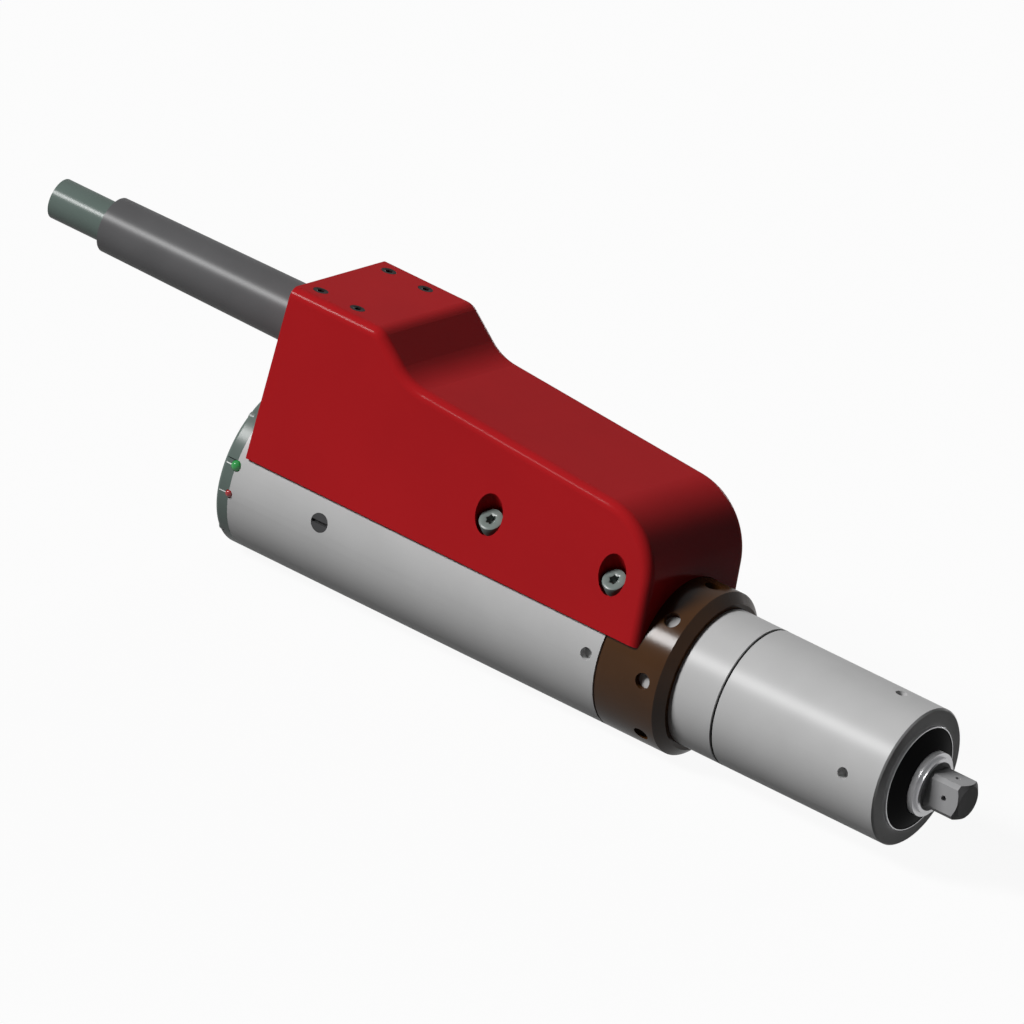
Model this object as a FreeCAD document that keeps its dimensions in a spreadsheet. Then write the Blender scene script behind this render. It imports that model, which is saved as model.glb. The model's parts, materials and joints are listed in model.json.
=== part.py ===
import FreeCAD, Part
import math
import os
import Sketcher

# Robot screwdriving spindle. X runs along the spindle towards the square drive, Z is up, in mm.
# The origin is on the spindle axis, halfway along the clamping barrel of the gear case.

vec = FreeCAD.Vector
doc = FreeCAD.newDocument("screwdriving_spindle")
sheet = doc.addObject("Spreadsheet::Sheet", "sizes")
exported = []

# Driving dimensions: alias, value, meaning
sizes = [
    ("case_len", 68.8, "gear case, length of the clamping barrel"),
    ("case_dia", 51.0, "gear case, outside diameter"),
    ("case_wall", 3.0, "gear case, wall round the ring gear"),
    ("case_lip", 4.4, "gear case, front lip that holds the nose ring"),
    ("edge_bevel", 0.6, "bevel of turned edges"),
    ("side_hole_dia", 4.2, "tapped side holes of the gear case"),
    ("side_hole_depth", 4.0, "depth of the tapped side holes"),
    ("side_hole_back", 14.4, "side holes, distance from the front face"),
    ("side_hole_count", 4, "tapped side holes round the gear case"),
    ("transducer_len", 18.2, "visible length of the transducer housing"),
    ("flange_step", 2.5, "thread under the coupling nut, height above the gear case's barrel"),
    ("spigot_len", 15.0, "threaded spigot on the front of the motor housing"),
    ("flange_len", 8.6, "flange of the transducer housing under the nut"),
    ("nut_len", 28.6, "coupling nut, length"),
    ("nut_wall", 2.5, "coupling nut, wall over the thread"),
    ("nut_bevel", 3.3, "coupling nut, front bevel"),
    ("nut_gap", 0.8, "gap between the coupling nut and the motor housing"),
    ("nut_hole_dia", 5.8, "hook spanner holes of the coupling nut"),
    ("nut_hole_back", 9.3, "spanner holes, distance from the nut's front"),
    ("nut_hole_count", 8, "spanner holes round the nut"),
    ("housing_len", 157.0, "motor housing, length of the barrel"),
    ("housing_wall", 4.5, "motor housing, wall"),
    ("housing_end", 10.8, "motor housing, front wall with the bearing seat"),
    ("cap_len", 5.3, "rear cap, thickness"),
    ("cap_round", 1.5, "rear cap, rounded edge"),
    ("cap_spigot", 3.0, "rear cap, centring spigot"),
    ("cap_screw_dia", 2.5, "rear cap screws"),
    ("cap_screw_head_dia", 4.5, "rear cap screws, head"),
    ("cap_screw_head", 2.2, "rear cap screws, head height"),
    ("cap_screw_sink", 0.2, "rear cap screws, heads below the surface"),
    ("cap_screw_len", 7.0, "rear cap screws, length in the housing"),
    ("blind_rest", 1.0, "free depth under the tip of a screw"),
    ("cap_screw_count", 4, "rear cap screws"),
    ("lamp_dia", 4.0, "green status lamp"),
    ("small_lamp_dia", 3.0, "red status lamp"),
    ("lamp_sink", 0.6, "lamps, middle of the dome below the surface"),
    ("lamp_angle", 10.0, "lamps, angle above and below the side line"),
    ("plug_dia", 7.0, "slotted service plug"),
    ("plug_sink", 0.15, "service plug, face below the surface"),
    ("plug_slot", 1.2, "service plug, slot width"),
    ("plug_slot_depth", 1.4, "service plug, slot depth"),
    ("plug_from_rear", 37.8, "service plug, distance from the housing's rear edge"),
    ("pin_hole_dia", 4.6, "blind pin hole near the nut"),
    ("pin_hole_depth", 3.0, "blind pin hole, depth"),
    ("pin_hole_back", 4.7, "blind pin hole, distance from the nut"),
    ("ring_wall", 3.45, "ring gear, wall outside its teeth"),
    ("sun_teeth", 12, "teeth of a sun gear"),
    ("planet_teeth", 12, "teeth of a planet gear"),
    ("planet_count", 3, "planets per stage"),
    ("pressure_angle", 25.0, "pressure angle of the gears"),
    ("tooth_rise", 0.8, "height of a tooth above the pitch circle, in modules"),
    ("tooth_root", 1.05, "depth of a tooth below the pitch circle, in modules"),
    ("tooth_play", 0.08, "backlash of a tooth at the pitch circle"),
    ("planet_width", 9.0, "planet gears, width"),
    ("pin_dia", 4.0, "planet pins"),
    ("run_gap", 0.03, "radial clearance of a running fit"),
    ("side_play", 0.25, "axial clearance of a turning piece"),
    ("cage_plate", 3.2, "plates of a planet cage"),
    ("cage_gap", 1.0, "clearance round the gears and cages"),
    ("bearing_bore", 20.0, "output bearings, bore"),
    ("bearing_dia", 37.0, "output bearings, outside diameter"),
    ("bearing_len", 9.0, "output bearings, width"),
    ("bearing_space", 7.0, "spacer between the output bearings"),
    ("race_wall", 2.4, "rings of a bearing"),
    ("nose_dia", 38.6, "nose ring, outside diameter"),
    ("nose_rise", 1.2, "nose ring, height above the case's front face"),
    ("nose_wall", 2.4, "nose ring, front wall"),
    ("nose_cone_rise", 4.5, "nose ring, height of its cone above the case's front face"),
    ("nose_rim", 0.7, "nose ring, flat rim outside the cone"),
    ("seal_wall", 4.8, "shaft seal, wall"),
    ("collar_dia", 23.6, "shaft collar, outside diameter"),
    ("collar_rise", 6.7, "shaft collar, height above the case's front face"),
    ("collar_bore", 18.0, "shaft under the collar"),
    ("lock_dia", 20.6, "lock ring in front of the collar"),
    ("lock_len", 1.3, "lock ring, width"),
    ("lock_groove", 1.0, "groove of the lock ring, depth"),
    ("square_size", 12.7, "square drive, across the flats"),
    ("square_corner_dia", 16.0, "square drive, turned across the corners"),
    ("square_start", 8.1, "square drive, distance from the case's front face"),
    ("square_len", 13.7, "square drive, length"),
    ("square_tip", 1.6, "square drive, tip bevel"),
    ("square_tip_dia", 11.6, "square drive, round end face"),
    ("retainer_dia", 2.0, "cross holes of the square drive"),
    ("retainer_back", 6.2, "cross holes, distance from the tip"),
    ("shaft_dia", 8.0, "rotor shaft in its bearings"),
    ("pinion_seat", 7.0, "rotor shaft under the sun gear"),
    ("rotor_bearing_dia", 22.0, "rotor bearings, outside diameter"),
    ("rotor_bearing_len", 7.0, "rotor bearings, width"),
    ("stator_len", 70.0, "stator core, length"),
    ("stator_bore", 27.0, "stator core, bore"),
    ("stator_from_front", 18.0, "stator core, distance from the front wall"),
    ("slot_count", 9, "stator slots"),
    ("slot_depth", 6.5, "stator slots, depth of the winding"),
    ("slot_width", 4.6, "stator slots, width of the winding"),
    ("tooth_tip", 1.6, "stator, web between a slot and the bore"),
    ("winding_overhang", 9.0, "windings, length beyond the core"),
    ("winding_rest", 1.0, "windings, end turns clear of the core"),
    ("air_gap", 0.6, "gap between the stator and the magnets"),
    ("magnet_wall", 3.0, "rotor magnets, thickness"),
    ("magnet_count", 4, "rotor magnets"),
    ("magnet_gap_angle", 12.0, "angle left free beside each magnet"),
    ("rear_wall", 9.0, "rear bearing bracket, thickness"),
    ("rear_wall_from_rear", 17.0, "rear bearing bracket, distance from the rear cap"),
    ("resolver_dia", 36.0, "resolver, outside diameter"),
    ("resolver_bore", 20.0, "resolver, bore of the stator ring"),
    ("resolver_len", 7.0, "resolver, width"),
    ("gauge_wall", 1.6, "torque transducer, thin measuring wall"),
    ("gauge_dia", 30.0, "torque transducer, measuring tube"),
    ("joint_overlap", 2.4, "torque transducer, reach across the joint of the cases"),
    ("gauge_flange", 4.0, "torque transducer, flanges"),
    ("cover_back", 3.1, "cover, distance from the housing's rear edge"),
    ("cover_reach", 14.1, "cover, reach over the coupling nut"),
    ("cover_edge_height", 9.6, "cover, lower edge above the axis"),
    ("cover_top_height", 74.2, "cover, top above the axis"),
    ("cover_flat_len", 37.7, "cover, flat top over the connector"),
    ("cover_slope", 38.3, "cover, angle of the slope behind the connector"),
    ("ridge_height", 61.2, "cover, ridge height at the foot of the slope"),
    ("ridge_angle", 4.1, "cover, fall of the ridge"),
    ("front_rake", 5.0, "cover, lean of the front wall"),
    ("top_round", 7.0, "cover, bend at the end of the flat top"),
    ("foot_round", 20.0, "cover, hollow bend at the foot of the slope"),
    ("front_round", 26.0, "cover, bend of the front"),
    ("side_round", 3.6, "cover, rounded side edges"),
    ("cover_wall", 2.4, "cover, wall"),
    ("seat_gap", 0.15, "cover, clearance on the barrels"),
    ("boss_dia", 15.0, "cover, screw bosses"),
    ("head_pocket_dia", 11.0, "cover, pockets of the side screws"),
    ("head_dia", 8.7, "side screws, head"),
    ("head_len", 5.0, "side screws, head height"),
    ("head_rise", 9.8, "side screws, head face above the motor housing"),
    ("screw_dia", 5.0, "side screws, shank"),
    ("screw_hex", 4.0, "side screws, hexagon socket"),
    ("screw_hex_depth", 2.5, "side screws, socket depth"),
    ("screw_angle", 45.0, "side screws, angle above the side line"),
    ("screw_gap", 0.1, "clearance round a screw's shank"),
    ("rear_screw_back", 55.7, "rear side screws, distance from the motor housing's front edge"),
    ("front_screw_back", 3.0, "front side screws, distance from the motor housing's front edge"),
    ("top_screw_dia", 3.0, "cover's top screws"),
    ("top_screw_head", 5.6, "cover's top screws, countersunk head"),
    ("top_screw_len", 6.0, "cover's top screws, length"),
    ("top_screw_side", 21.3, "top screws, distance from the middle"),
    ("top_screw_inset", 6.2, "first top screws, distance from the cover's rear face"),
    ("top_screw_pitch", 15.8, "spacing of the top screws"),
    ("connector_drop", 20.6, "connector axis below the cover's top"),
    ("sleeve_dia", 22.0, "connector sleeve at the cover"),
    ("sleeve_tip_dia", 20.3, "connector sleeve at its end"),
    ("sleeve_len", 91.5, "connector sleeve, length outside the cover"),
    ("sleeve_bore", 12.0, "connector sleeve, wire passage"),
    ("sleeve_step", 1.0, "connector sleeve, step down to its thread"),
    ("plug_shell_dia", 14.8, "connector shell, outside diameter"),
    ("plug_shell_bore", 12.0, "connector shell, socket bore"),
    ("plug_shell_len", 23.4, "connector shell, length outside the sleeve"),
    ("plug_shell_seat", 12.0, "connector shell, length inside the sleeve"),
    ("plug_shell_relief", 0.5, "connector shell, relief in front of the sleeve"),
    ("plug_shell_step", 0.4, "connector shell, step down to its seat"),
    ("insert_len", 12.0, "contact insert, length"),
    ("socket_depth", 14.0, "socket, depth to the contact insert"),
    ("contact_dia", 1.5, "contacts"),
    ("contact_rise", 8.0, "contacts, length in the socket"),
    ("contact_count", 6, "contacts on their circle"),
    ("contact_circle", 7.4, "circle of the contacts"),
    ("bracket_len", 24.0, "connector bracket, length"),
    ("bracket_ring_len", 16.0, "connector bracket, length round the sleeve"),
    ("bracket_width", 50.0, "connector bracket, width"),
    ("bracket_ring", 3.5, "connector bracket, wall round the sleeve"),
    ("bracket_plate", 5.0, "connector bracket, plate under the cover's top"),
    ("lock_nut_len", 5.0, "lock nut of the sleeve"),
    ("lock_nut_dia", 24.0, "lock nut of the sleeve, across the flats"),
    ("board_len", 62.0, "control board, length"),
    ("board_width", 34.0, "control board, width"),
    ("board_thick", 1.6, "control board, thickness"),
    ("board_at", 60.0, "control board, distance from the cover's rear face"),
    ("spacer_len", 8.0, "board spacers, height"),
    ("spacer_dia", 6.0, "board spacers"),
    ("spacer_inset", 5.0, "board spacers, distance from the board's edges"),
    ("processor_at", 24.5, "processor, distance from the board's rear edge"),
    ("processor_side", 13.0, "processor, length of its sides"),
    ("processor_height", 1.6, "processor, height"),
    ("board_plug_at", 3.7, "board connector, distance from the board's rear edge"),
    ("board_plug_len", 6.2, "board connector, length"),
    ("board_plug_width", 20.4, "board connector, width"),
    ("board_plug_height", 8.0, "board connector, height"),
    ("capacitor_at", 49.6, "capacitor, distance from the board's rear edge"),
    ("capacitor_dia", 8.0, "capacitor, diameter"),
    ("capacitor_height", 8.0, "capacitor, height"),
    ("wire_dia", 4.0, "wire loom"),
    ("wire_bend", 12.0, "wire loom, radius of its bend"),
    ("wire_port_dia", 14.0, "wire opening in the motor housing"),
    ("grommet_wall", 3.0, "grommet in the wire opening"),
    ("wire_port_at", 42.2, "wire opening, distance from the housing's rear edge"),
]

for row, (alias, value, meaning) in enumerate(sizes, start=1):
    sheet.set(f"A{row}", alias.replace("_", " "))
    sheet.set(f"B{row}", str(value))
    sheet.setAlias(f"B{row}", alias)
    sheet.set(f"C{row}", meaning)
doc.recompute()
aliases = {alias for alias, value, meaning in sizes}
past = 1  # how far a cutting tool runs past the face that it opens
near = 0.01  # how close a measured place has to be to count as the one meant


def bound(text):
    """Put the sheet's name before each alias in an expression."""
    words = []
    word = ""
    for letter in str(text) + " ":
        if letter.isalnum() or letter == "_":
            word += letter
            continue
        words.append("sizes." + word if word in aliases else word)
        words.append(letter)
        word = ""
    return "".join(words).strip()


def size(alias):
    return float(getattr(sheet, alias))


def value(text):
    """What an expression comes to."""
    result = sheet.evalExpression(bound(text))
    return float(getattr(result, "Value", result))


# The barrels follow the gear case, and so do the gears inside it
thread_dia = "(case_dia + 2 * flange_step)"
housing_dia = f"({thread_dia} + 2 * nut_wall)"
housing_radius = f"({housing_dia} / 2)"
housing_bore = f"({housing_dia} - 2 * housing_wall)"
bore_radius = f"({housing_bore} / 2)"
case_bore = "(case_dia - 2 * case_wall)"
ring_teeth = "(sun_teeth + 2 * planet_teeth)"
gear_module = f"(({case_bore} / 2 - ring_wall) / ({ring_teeth} / 2 + tooth_root))"
orbit = f"({gear_module} * (sun_teeth + planet_teeth) / 2)"
planet_tip = f"({gear_module} * (planet_teeth + 2 * tooth_rise))"
sun_tip = f"({gear_module} * (sun_teeth + 2 * tooth_rise))"
ring_tip = f"({gear_module} * ({ring_teeth} - 2 * tooth_rise))"
cage_dia = f"({ring_tip} - cage_gap)"

# Places along the spindle, as expressions of the driving dimensions
case_front = "(case_len / 2)"
case_rear = "(-case_len / 2)"
nut_front = f"({case_rear} - transducer_len)"
nut_rear = f"({nut_front} - nut_len)"
housing_rear = f"({nut_rear} - housing_len)"
cap_rear = f"({housing_rear} - cap_len)"
spigot_front = f"({nut_rear} + spigot_len)"
flange_front = f"({spigot_front} + flange_len)"
cover_rear = f"({housing_rear} + cover_back)"
cover_front = f"({nut_rear} + cover_reach)"
stator_front = f"({nut_rear} - housing_end - stator_from_front)"
stator_rear = f"({stator_front} - stator_len)"
bracket_front = f"({housing_rear} + rear_wall_from_rear + rear_wall)"
bracket_rear = f"({housing_rear} + rear_wall_from_rear)"
window_len = "(planet_width + 2 * side_play)"
cage_len = f"(2 * cage_plate + {window_len})"

# The output bearings sit behind the nose ring, and the two cages behind them
bearing_front = f"({case_front} - case_lip)"
bearing_middle = f"({bearing_front} - bearing_len)"
spacer_rear = f"({bearing_middle} - bearing_space)"
bearing_rear = f"({spacer_rear} - bearing_len)"
cage_two_front = f"({bearing_rear} - cage_gap)"
cage_two_rear = f"({cage_two_front} - {cage_len})"
cage_one_front = f"({cage_two_rear} - cage_gap)"
cage_one_rear = f"({cage_one_front} - {cage_len})"


def before(place):
    return f"({place} - {past})"


def beyond(place):
    return f"({place} + {past})"


def finished(thing, node):
    thing.Label = node
    exported.append(thing)
    return thing


def bind(thing, prop, text):
    thing.setExpression(prop, bound(text))


def origin_plane(body, role):
    return [item for item in body.Origin.OriginFeatures if item.Role == role][0]


def sketch_outline(body, name, corners, plane="XZ_Plane"):
    """A closed outline of straight lines whose corners are bound to expressions."""
    sketch = body.newObject("Sketcher::SketchObject", name)
    sketch.AttachmentSupport = [(origin_plane(body, plane), "")]
    sketch.MapMode = "FlatFace"
    count = len(corners)
    values = [vec(value(across), value(up), 0) for across, up in corners]
    for index in range(count):
        sketch.addGeometry(Part.LineSegment(values[index], values[(index + 1) % count]), False)
    for index in range(count):
        sketch.addConstraint(Sketcher.Constraint("Coincident", index, 2, (index + 1) % count, 1))
    for index, texts in enumerate(corners):
        for kind, text in zip(("DistanceX", "DistanceY"), texts):
            start = values[index].x if kind == "DistanceX" else values[index].y
            number = sketch.addConstraint(Sketcher.Constraint(kind, -1, 1, index, 1, start))
            sketch.setExpression(f"Constraints[{number}]", bound(text))
    return sketch


def turned(name, outline):
    """A solid of revolution about X from an outline of (place along X, diameter) corners."""
    body = doc.addObject("PartDesign::Body", name)
    corners = [(place, f"({dia}) / 2") for place, dia in outline]
    sketch = sketch_outline(body, name + "_outline", corners)
    turn = body.newObject("PartDesign::Revolution", name + "_turn")
    turn.Profile = sketch
    turn.ReferenceAxis = (sketch, ["H_Axis"])
    turn.Angle = 360
    doc.recompute()
    return body


def edges_where(shape, test):
    return [f"Edge{number}" for number, edge in enumerate(shape.Edges, start=1) if test(edge)]


def rounded(body, name, radius, names):
    base = body.Tip
    fillet = body.newObject("PartDesign::Fillet", name)
    fillet.Base = (base, names)
    bind(fillet, "Radius", radius)
    body.Tip = fillet
    doc.recompute()
    return fillet


def tube(name, start, end, outer, inner):
    return turned(name, [(start, inner), (start, outer), (end, outer), (end, inner)])


def cylinder(name, start, end, dia, side="0", up="0"):
    """A cylinder along X between two places on the spindle."""
    solid = doc.addObject("Part::Cylinder", name)
    solid.Placement = FreeCAD.Placement(vec(0, 0, 0), FreeCAD.Rotation(vec(0, 1, 0), 90))
    bind(solid, "Radius", f"({dia}) / 2")
    bind(solid, "Height", f"{end} - {start}")
    bind(solid, "Placement.Base.x", start)
    bind(solid, "Placement.Base.y", side)
    bind(solid, "Placement.Base.z", up)
    return solid


def upright(name, place, side, bottom, top, dia):
    """A cylinder along Z."""
    solid = doc.addObject("Part::Cylinder", name)
    bind(solid, "Radius", f"({dia}) / 2")
    bind(solid, "Height", f"{top} - {bottom}")
    bind(solid, "Placement.Base.x", place)
    bind(solid, "Placement.Base.y", side)
    bind(solid, "Placement.Base.z", bottom)
    return solid


def hinge_on_spindle(solid):
    """Give a solid the spindle's axis to turn about, before its angle is bound."""
    any_angle = 30
    solid.Placement = FreeCAD.Placement(vec(0, 0, 0), FreeCAD.Rotation(vec(1, 0, 0), any_angle))


def point_radially(solid, place, angle, inner):
    """Stand a solid on the spindle at an angle above the near side line, pointing outwards."""
    hinge_on_spindle(solid)
    bind(solid, "Placement.Base.x", place)
    bind(solid, "Placement.Base.y", f"-({inner}) * cos({angle})")
    bind(solid, "Placement.Base.z", f"({inner}) * sin({angle})")
    bind(solid, "Placement.Rotation.Angle", f"90 - ({angle})")


def spoke(name, place, angle, inner, outer, dia):
    """A cylinder that points away from the spindle axis."""
    solid = doc.addObject("Part::Cylinder", name)
    bind(solid, "Radius", f"({dia}) / 2")
    bind(solid, "Height", f"({outer}) - ({inner})")
    point_radially(solid, place, angle, inner)
    return solid


def block(name, start, end, side_from, side_to, bottom, top):
    solid = doc.addObject("Part::Box", name)
    bind(solid, "Length", f"({end}) - ({start})")
    bind(solid, "Width", f"({side_to}) - ({side_from})")
    bind(solid, "Height", f"({top}) - ({bottom})")
    bind(solid, "Placement.Base.x", start)
    bind(solid, "Placement.Base.y", side_from)
    bind(solid, "Placement.Base.z", bottom)
    return solid


def fused(name, parts):
    union = doc.addObject("Part::MultiFuse", name)
    union.Shapes = parts
    return union


def cut(name, base, tools):
    result = doc.addObject("Part::Cut", name)
    result.Base = base
    result.Tool = tools[0] if len(tools) == 1 else fused(name + "_tools", tools)
    return result


def grouped(name, parts):
    group = doc.addObject("Part::Compound", name)
    group.Links = parts
    return group


def shaped(name, shape, place, turn=0):
    """A shape made along Z in its own frame, turned about its axis and laid along X."""
    thing = doc.addObject("Part::Feature", name)
    thing.Shape = shape
    laid = FreeCAD.Rotation(vec(0, 1, 0), 90).multiply(FreeCAD.Rotation(vec(0, 0, 1), turn))
    thing.Placement = FreeCAD.Placement(vec(place, 0, 0), laid)
    return thing


# Motor housing, rear cap and what they hold
plug_place = f"({housing_rear} + plug_from_rear)"
pin_hole_place = f"({nut_rear} - pin_hole_back)"
port_place = f"({housing_rear} + wire_port_at)"
screw_places = [f"({nut_rear} - rear_screw_back)", f"({nut_rear} - front_screw_back)"]
screw_angles = ["screw_angle", "180 - screw_angle"]
head_reach = f"({housing_radius} + head_rise)"
head_seat = f"({head_reach} - head_len)"
seat_rear = f"({nut_rear} - housing_end)"
cap_head_front = f"({cap_rear} + cap_screw_sink + cap_screw_head)"
bearing_lip = "(rotor_bearing_dia - 2 * race_wall)"
lamps = [("green", "lamp_angle", "lamp_dia"), ("red", "-lamp_angle", "small_lamp_dia")]


def side_screw_spots():
    spots = []
    for row, place in enumerate(screw_places):
        for column, angle in enumerate(screw_angles):
            spots.append((f"{row}{column}", place, angle))
    return spots


def lamp_holes(owner):
    holes = []
    for colour, angle, dia in lamps:
        name = f"{owner}_{colour}_lamp_hole"
        holes.append(spoke(name, housing_rear, angle, f"{bore_radius} - cap_spigot", beyond(housing_radius),
                           dia))
    return holes


def make_motor_housing():
    barrel = turned("housing_barrel", [
        (housing_rear, housing_bore), (housing_rear, housing_dia),
        (nut_rear, housing_dia), (nut_rear, thread_dia),
        (spigot_front, thread_dia), (spigot_front, case_bore),
        (nut_rear, case_bore), (nut_rear, bearing_lip),
        (f"{seat_rear} + rotor_bearing_len", bearing_lip),
        (f"{seat_rear} + rotor_bearing_len", "rotor_bearing_dia"),
        (seat_rear, "rotor_bearing_dia"), (seat_rear, housing_bore),
    ])
    tools = lamp_holes("housing")
    through = (before(bore_radius), beyond(housing_radius))
    tools.append(spoke("plug_hole", plug_place, "0", *through, "plug_dia"))
    tools.append(spoke("pin_hole", pin_hole_place, "0", f"{housing_radius} - pin_hole_depth",
                       beyond(housing_radius), "pin_hole_dia"))
    tools.append(spoke("wire_port", port_place, "90", *through, "wire_port_dia"))
    for tag, place, angle in side_screw_spots():
        tools.append(spoke("screw_thread_" + tag, place, angle, *through, "screw_dia + 2 * screw_gap"))
    for index, (side, up) in enumerate(cap_screw_spots()):
        bottom = f"({housing_rear} + cap_screw_len + blind_rest)"
        tools.append(cylinder(f"cap_thread_{index}", before(housing_rear), bottom,
                              "cap_screw_dia + 2 * screw_gap", side, up))
    finished(cut("housing_solid", barrel, tools), "motor_housing")


def cap_screw_spots():
    spots = []
    count = int(size("cap_screw_count"))
    for index in range(count):
        angle = f"(45 + {index} * 360 / cap_screw_count)"
        circle = f"(({housing_dia} - housing_wall) / 2)"
        spots.append((f"{circle} * cos({angle})", f"{circle} * sin({angle})"))
    return spots


def make_rear_cap():
    cap = turned("cap_disc", [
        (cap_rear, "0"), (cap_rear, housing_dia), (housing_rear, housing_dia),
        (housing_rear, housing_bore), (f"{housing_rear} + cap_spigot", housing_bore),
        (f"{housing_rear} + cap_spigot", "0"),
    ])
    rounded(cap, "cap_rounding", "cap_round", edges_where(cap.Shape, lambda edge: (
        edge.BoundBox.XMax < value(cap_rear) + near and edge.BoundBox.YLength > value(housing_dia) - near)))
    tools = lamp_holes("cap")
    for index, (side, up) in enumerate(cap_screw_spots()):
        tools.append(cylinder(f"cap_hole_{index}", before(cap_rear), beyond(housing_rear),
                              "cap_screw_dia + 2 * screw_gap", side, up))
        tools.append(cylinder(f"cap_head_pocket_{index}", before(cap_rear), cap_head_front,
                              "cap_screw_head_dia + 2 * screw_gap", side, up))
    finished(cut("cap_solid", cap, tools), "rear_cap")
    screws = []
    for index, (side, up) in enumerate(cap_screw_spots()):
        shank = cylinder(f"cap_shank_{index}", cap_head_front, f"({housing_rear} + cap_screw_len)",
                         "cap_screw_dia", side, up)
        head = cylinder(f"cap_head_{index}", f"({cap_rear} + cap_screw_sink)", cap_head_front,
                        "cap_screw_head_dia", side, up)
        screws.append(fused(f"cap_screw_{index}", [head, shank]))
    finished(grouped("cap_screws", screws), "rear_cap_screws")


def make_lamps():
    for colour, angle, dia in lamps:
        stem = spoke(f"{colour}_stem", housing_rear, angle, f"{bore_radius} - cap_spigot",
                     f"{housing_radius} - lamp_sink", dia)
        dome = doc.addObject("Part::Sphere", f"{colour}_dome")
        bind(dome, "Radius", f"{dia} / 2")
        point_radially(dome, housing_rear, angle, f"{housing_radius} - lamp_sink")
        finished(fused(f"{colour}_lamp", [stem, dome]), f"status_lamp_{colour}")


def make_service_plug():
    body = spoke("plug_body", plug_place, "0", bore_radius, f"({housing_radius} - plug_sink)", "plug_dia")
    slot = block("plug_slot", f"({plug_place} - plug_dia)", f"({plug_place} + plug_dia)",
                 before("-" + housing_radius), f"-{housing_radius} + plug_slot_depth", "-plug_slot / 2",
                 "plug_slot / 2")
    finished(cut("plug_solid", body, [slot]), "service_plug")


def make_stator():
    core = tube("core_ring", stator_rear, stator_front, housing_bore, "stator_bore")
    slots = []
    windings = []
    inner = "(stator_bore / 2 + tooth_tip)"
    outer = f"({inner} + slot_depth)"
    count = int(size("slot_count"))
    for index in range(count):
        angle = f"({index} * 360 / slot_count)"
        for owner, group, reach in [("slot", slots, past), ("coil", windings, "winding_overhang / 2")]:
            bar = doc.addObject("Part::Box", f"{owner}_{index}")
            bind(bar, "Length", f"stator_len + 2 * {reach}")
            bind(bar, "Width", "slot_width")
            bind(bar, "Height", "slot_depth")
            hinge_on_spindle(bar)
            bind(bar, "Placement.Base.x", f"{stator_rear} - {reach}")
            bind(bar, "Placement.Base.y", f"-slot_width / 2 * cos({angle}) - {inner} * sin({angle})")
            bind(bar, "Placement.Base.z", f"-slot_width / 2 * sin({angle}) + {inner} * cos({angle})")
            bind(bar, "Placement.Rotation.Angle", angle)
            group.append(bar)
    finished(cut("core_solid", core, slots), "stator_core")
    ends = [
        tube("rear_turns", f"({stator_rear} - winding_overhang)", f"({stator_rear} - winding_rest)",
             f"2 * {outer}", f"2 * {inner}"),
        tube("front_turns", f"({stator_front} + winding_rest)", f"({stator_front} + winding_overhang)",
             f"2 * {outer}", f"2 * {inner}"),
    ]
    finished(fused("winding_solid", windings + ends), "stator_windings")


def make_rear_bracket():
    seat_front = f"({bracket_front} - rotor_bearing_len)"
    bracket = turned("bracket_disc", [
        (f"{bracket_rear} - resolver_len", "resolver_dia"),
        (f"{bracket_rear} - resolver_len", "resolver_dia + 2 * race_wall"),
        (bracket_rear, "resolver_dia + 2 * race_wall"), (bracket_rear, housing_bore),
        (bracket_front, housing_bore), (bracket_front, "rotor_bearing_dia"),
        (seat_front, "rotor_bearing_dia"), (seat_front, bearing_lip),
        (bracket_rear, bearing_lip), (bracket_rear, "resolver_dia"),
    ])
    finished(bracket, "rear_bearing_bracket")
    finished(tube("resolver_ring", f"({bracket_rear} - resolver_len)", bracket_rear, "resolver_dia",
                  "resolver_bore"), "resolver_stator")


def bearing(node, start, end, outer, bore):
    """An outer and an inner race with a free gap between them, each a piece of its own."""
    finished(tube(node + "_outside", start, end, outer, f"{outer} - 2 * race_wall"), node + "_outer_race")
    finished(tube(node + "_inside", start, end, f"{bore} + 2 * race_wall", bore), node + "_inner_race")


def make_bearings():
    for node, rear in [("rotor_rear_bearing", f"({bracket_front} - rotor_bearing_len)"),
                       ("rotor_front_bearing", seat_rear)]:
        bearing(node, rear, f"({rear} + rotor_bearing_len)", "rotor_bearing_dia", "shaft_dia")
    bearing("output_rear_bearing", bearing_rear, spacer_rear, "bearing_dia", "bearing_bore")
    bearing("output_front_bearing", bearing_middle, bearing_front, "bearing_dia", "bearing_bore")
    outer_bore = "bearing_dia - 2 * race_wall"
    finished(tube("outer_spacer", spacer_rear, bearing_middle, "bearing_dia", outer_bore), "bearing_spacer")


# Rotor
sun_one_front = f"({cage_one_front} - cage_plate - side_play)"
sun_one_rear = f"({cage_one_rear} - cage_gap)"


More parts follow.
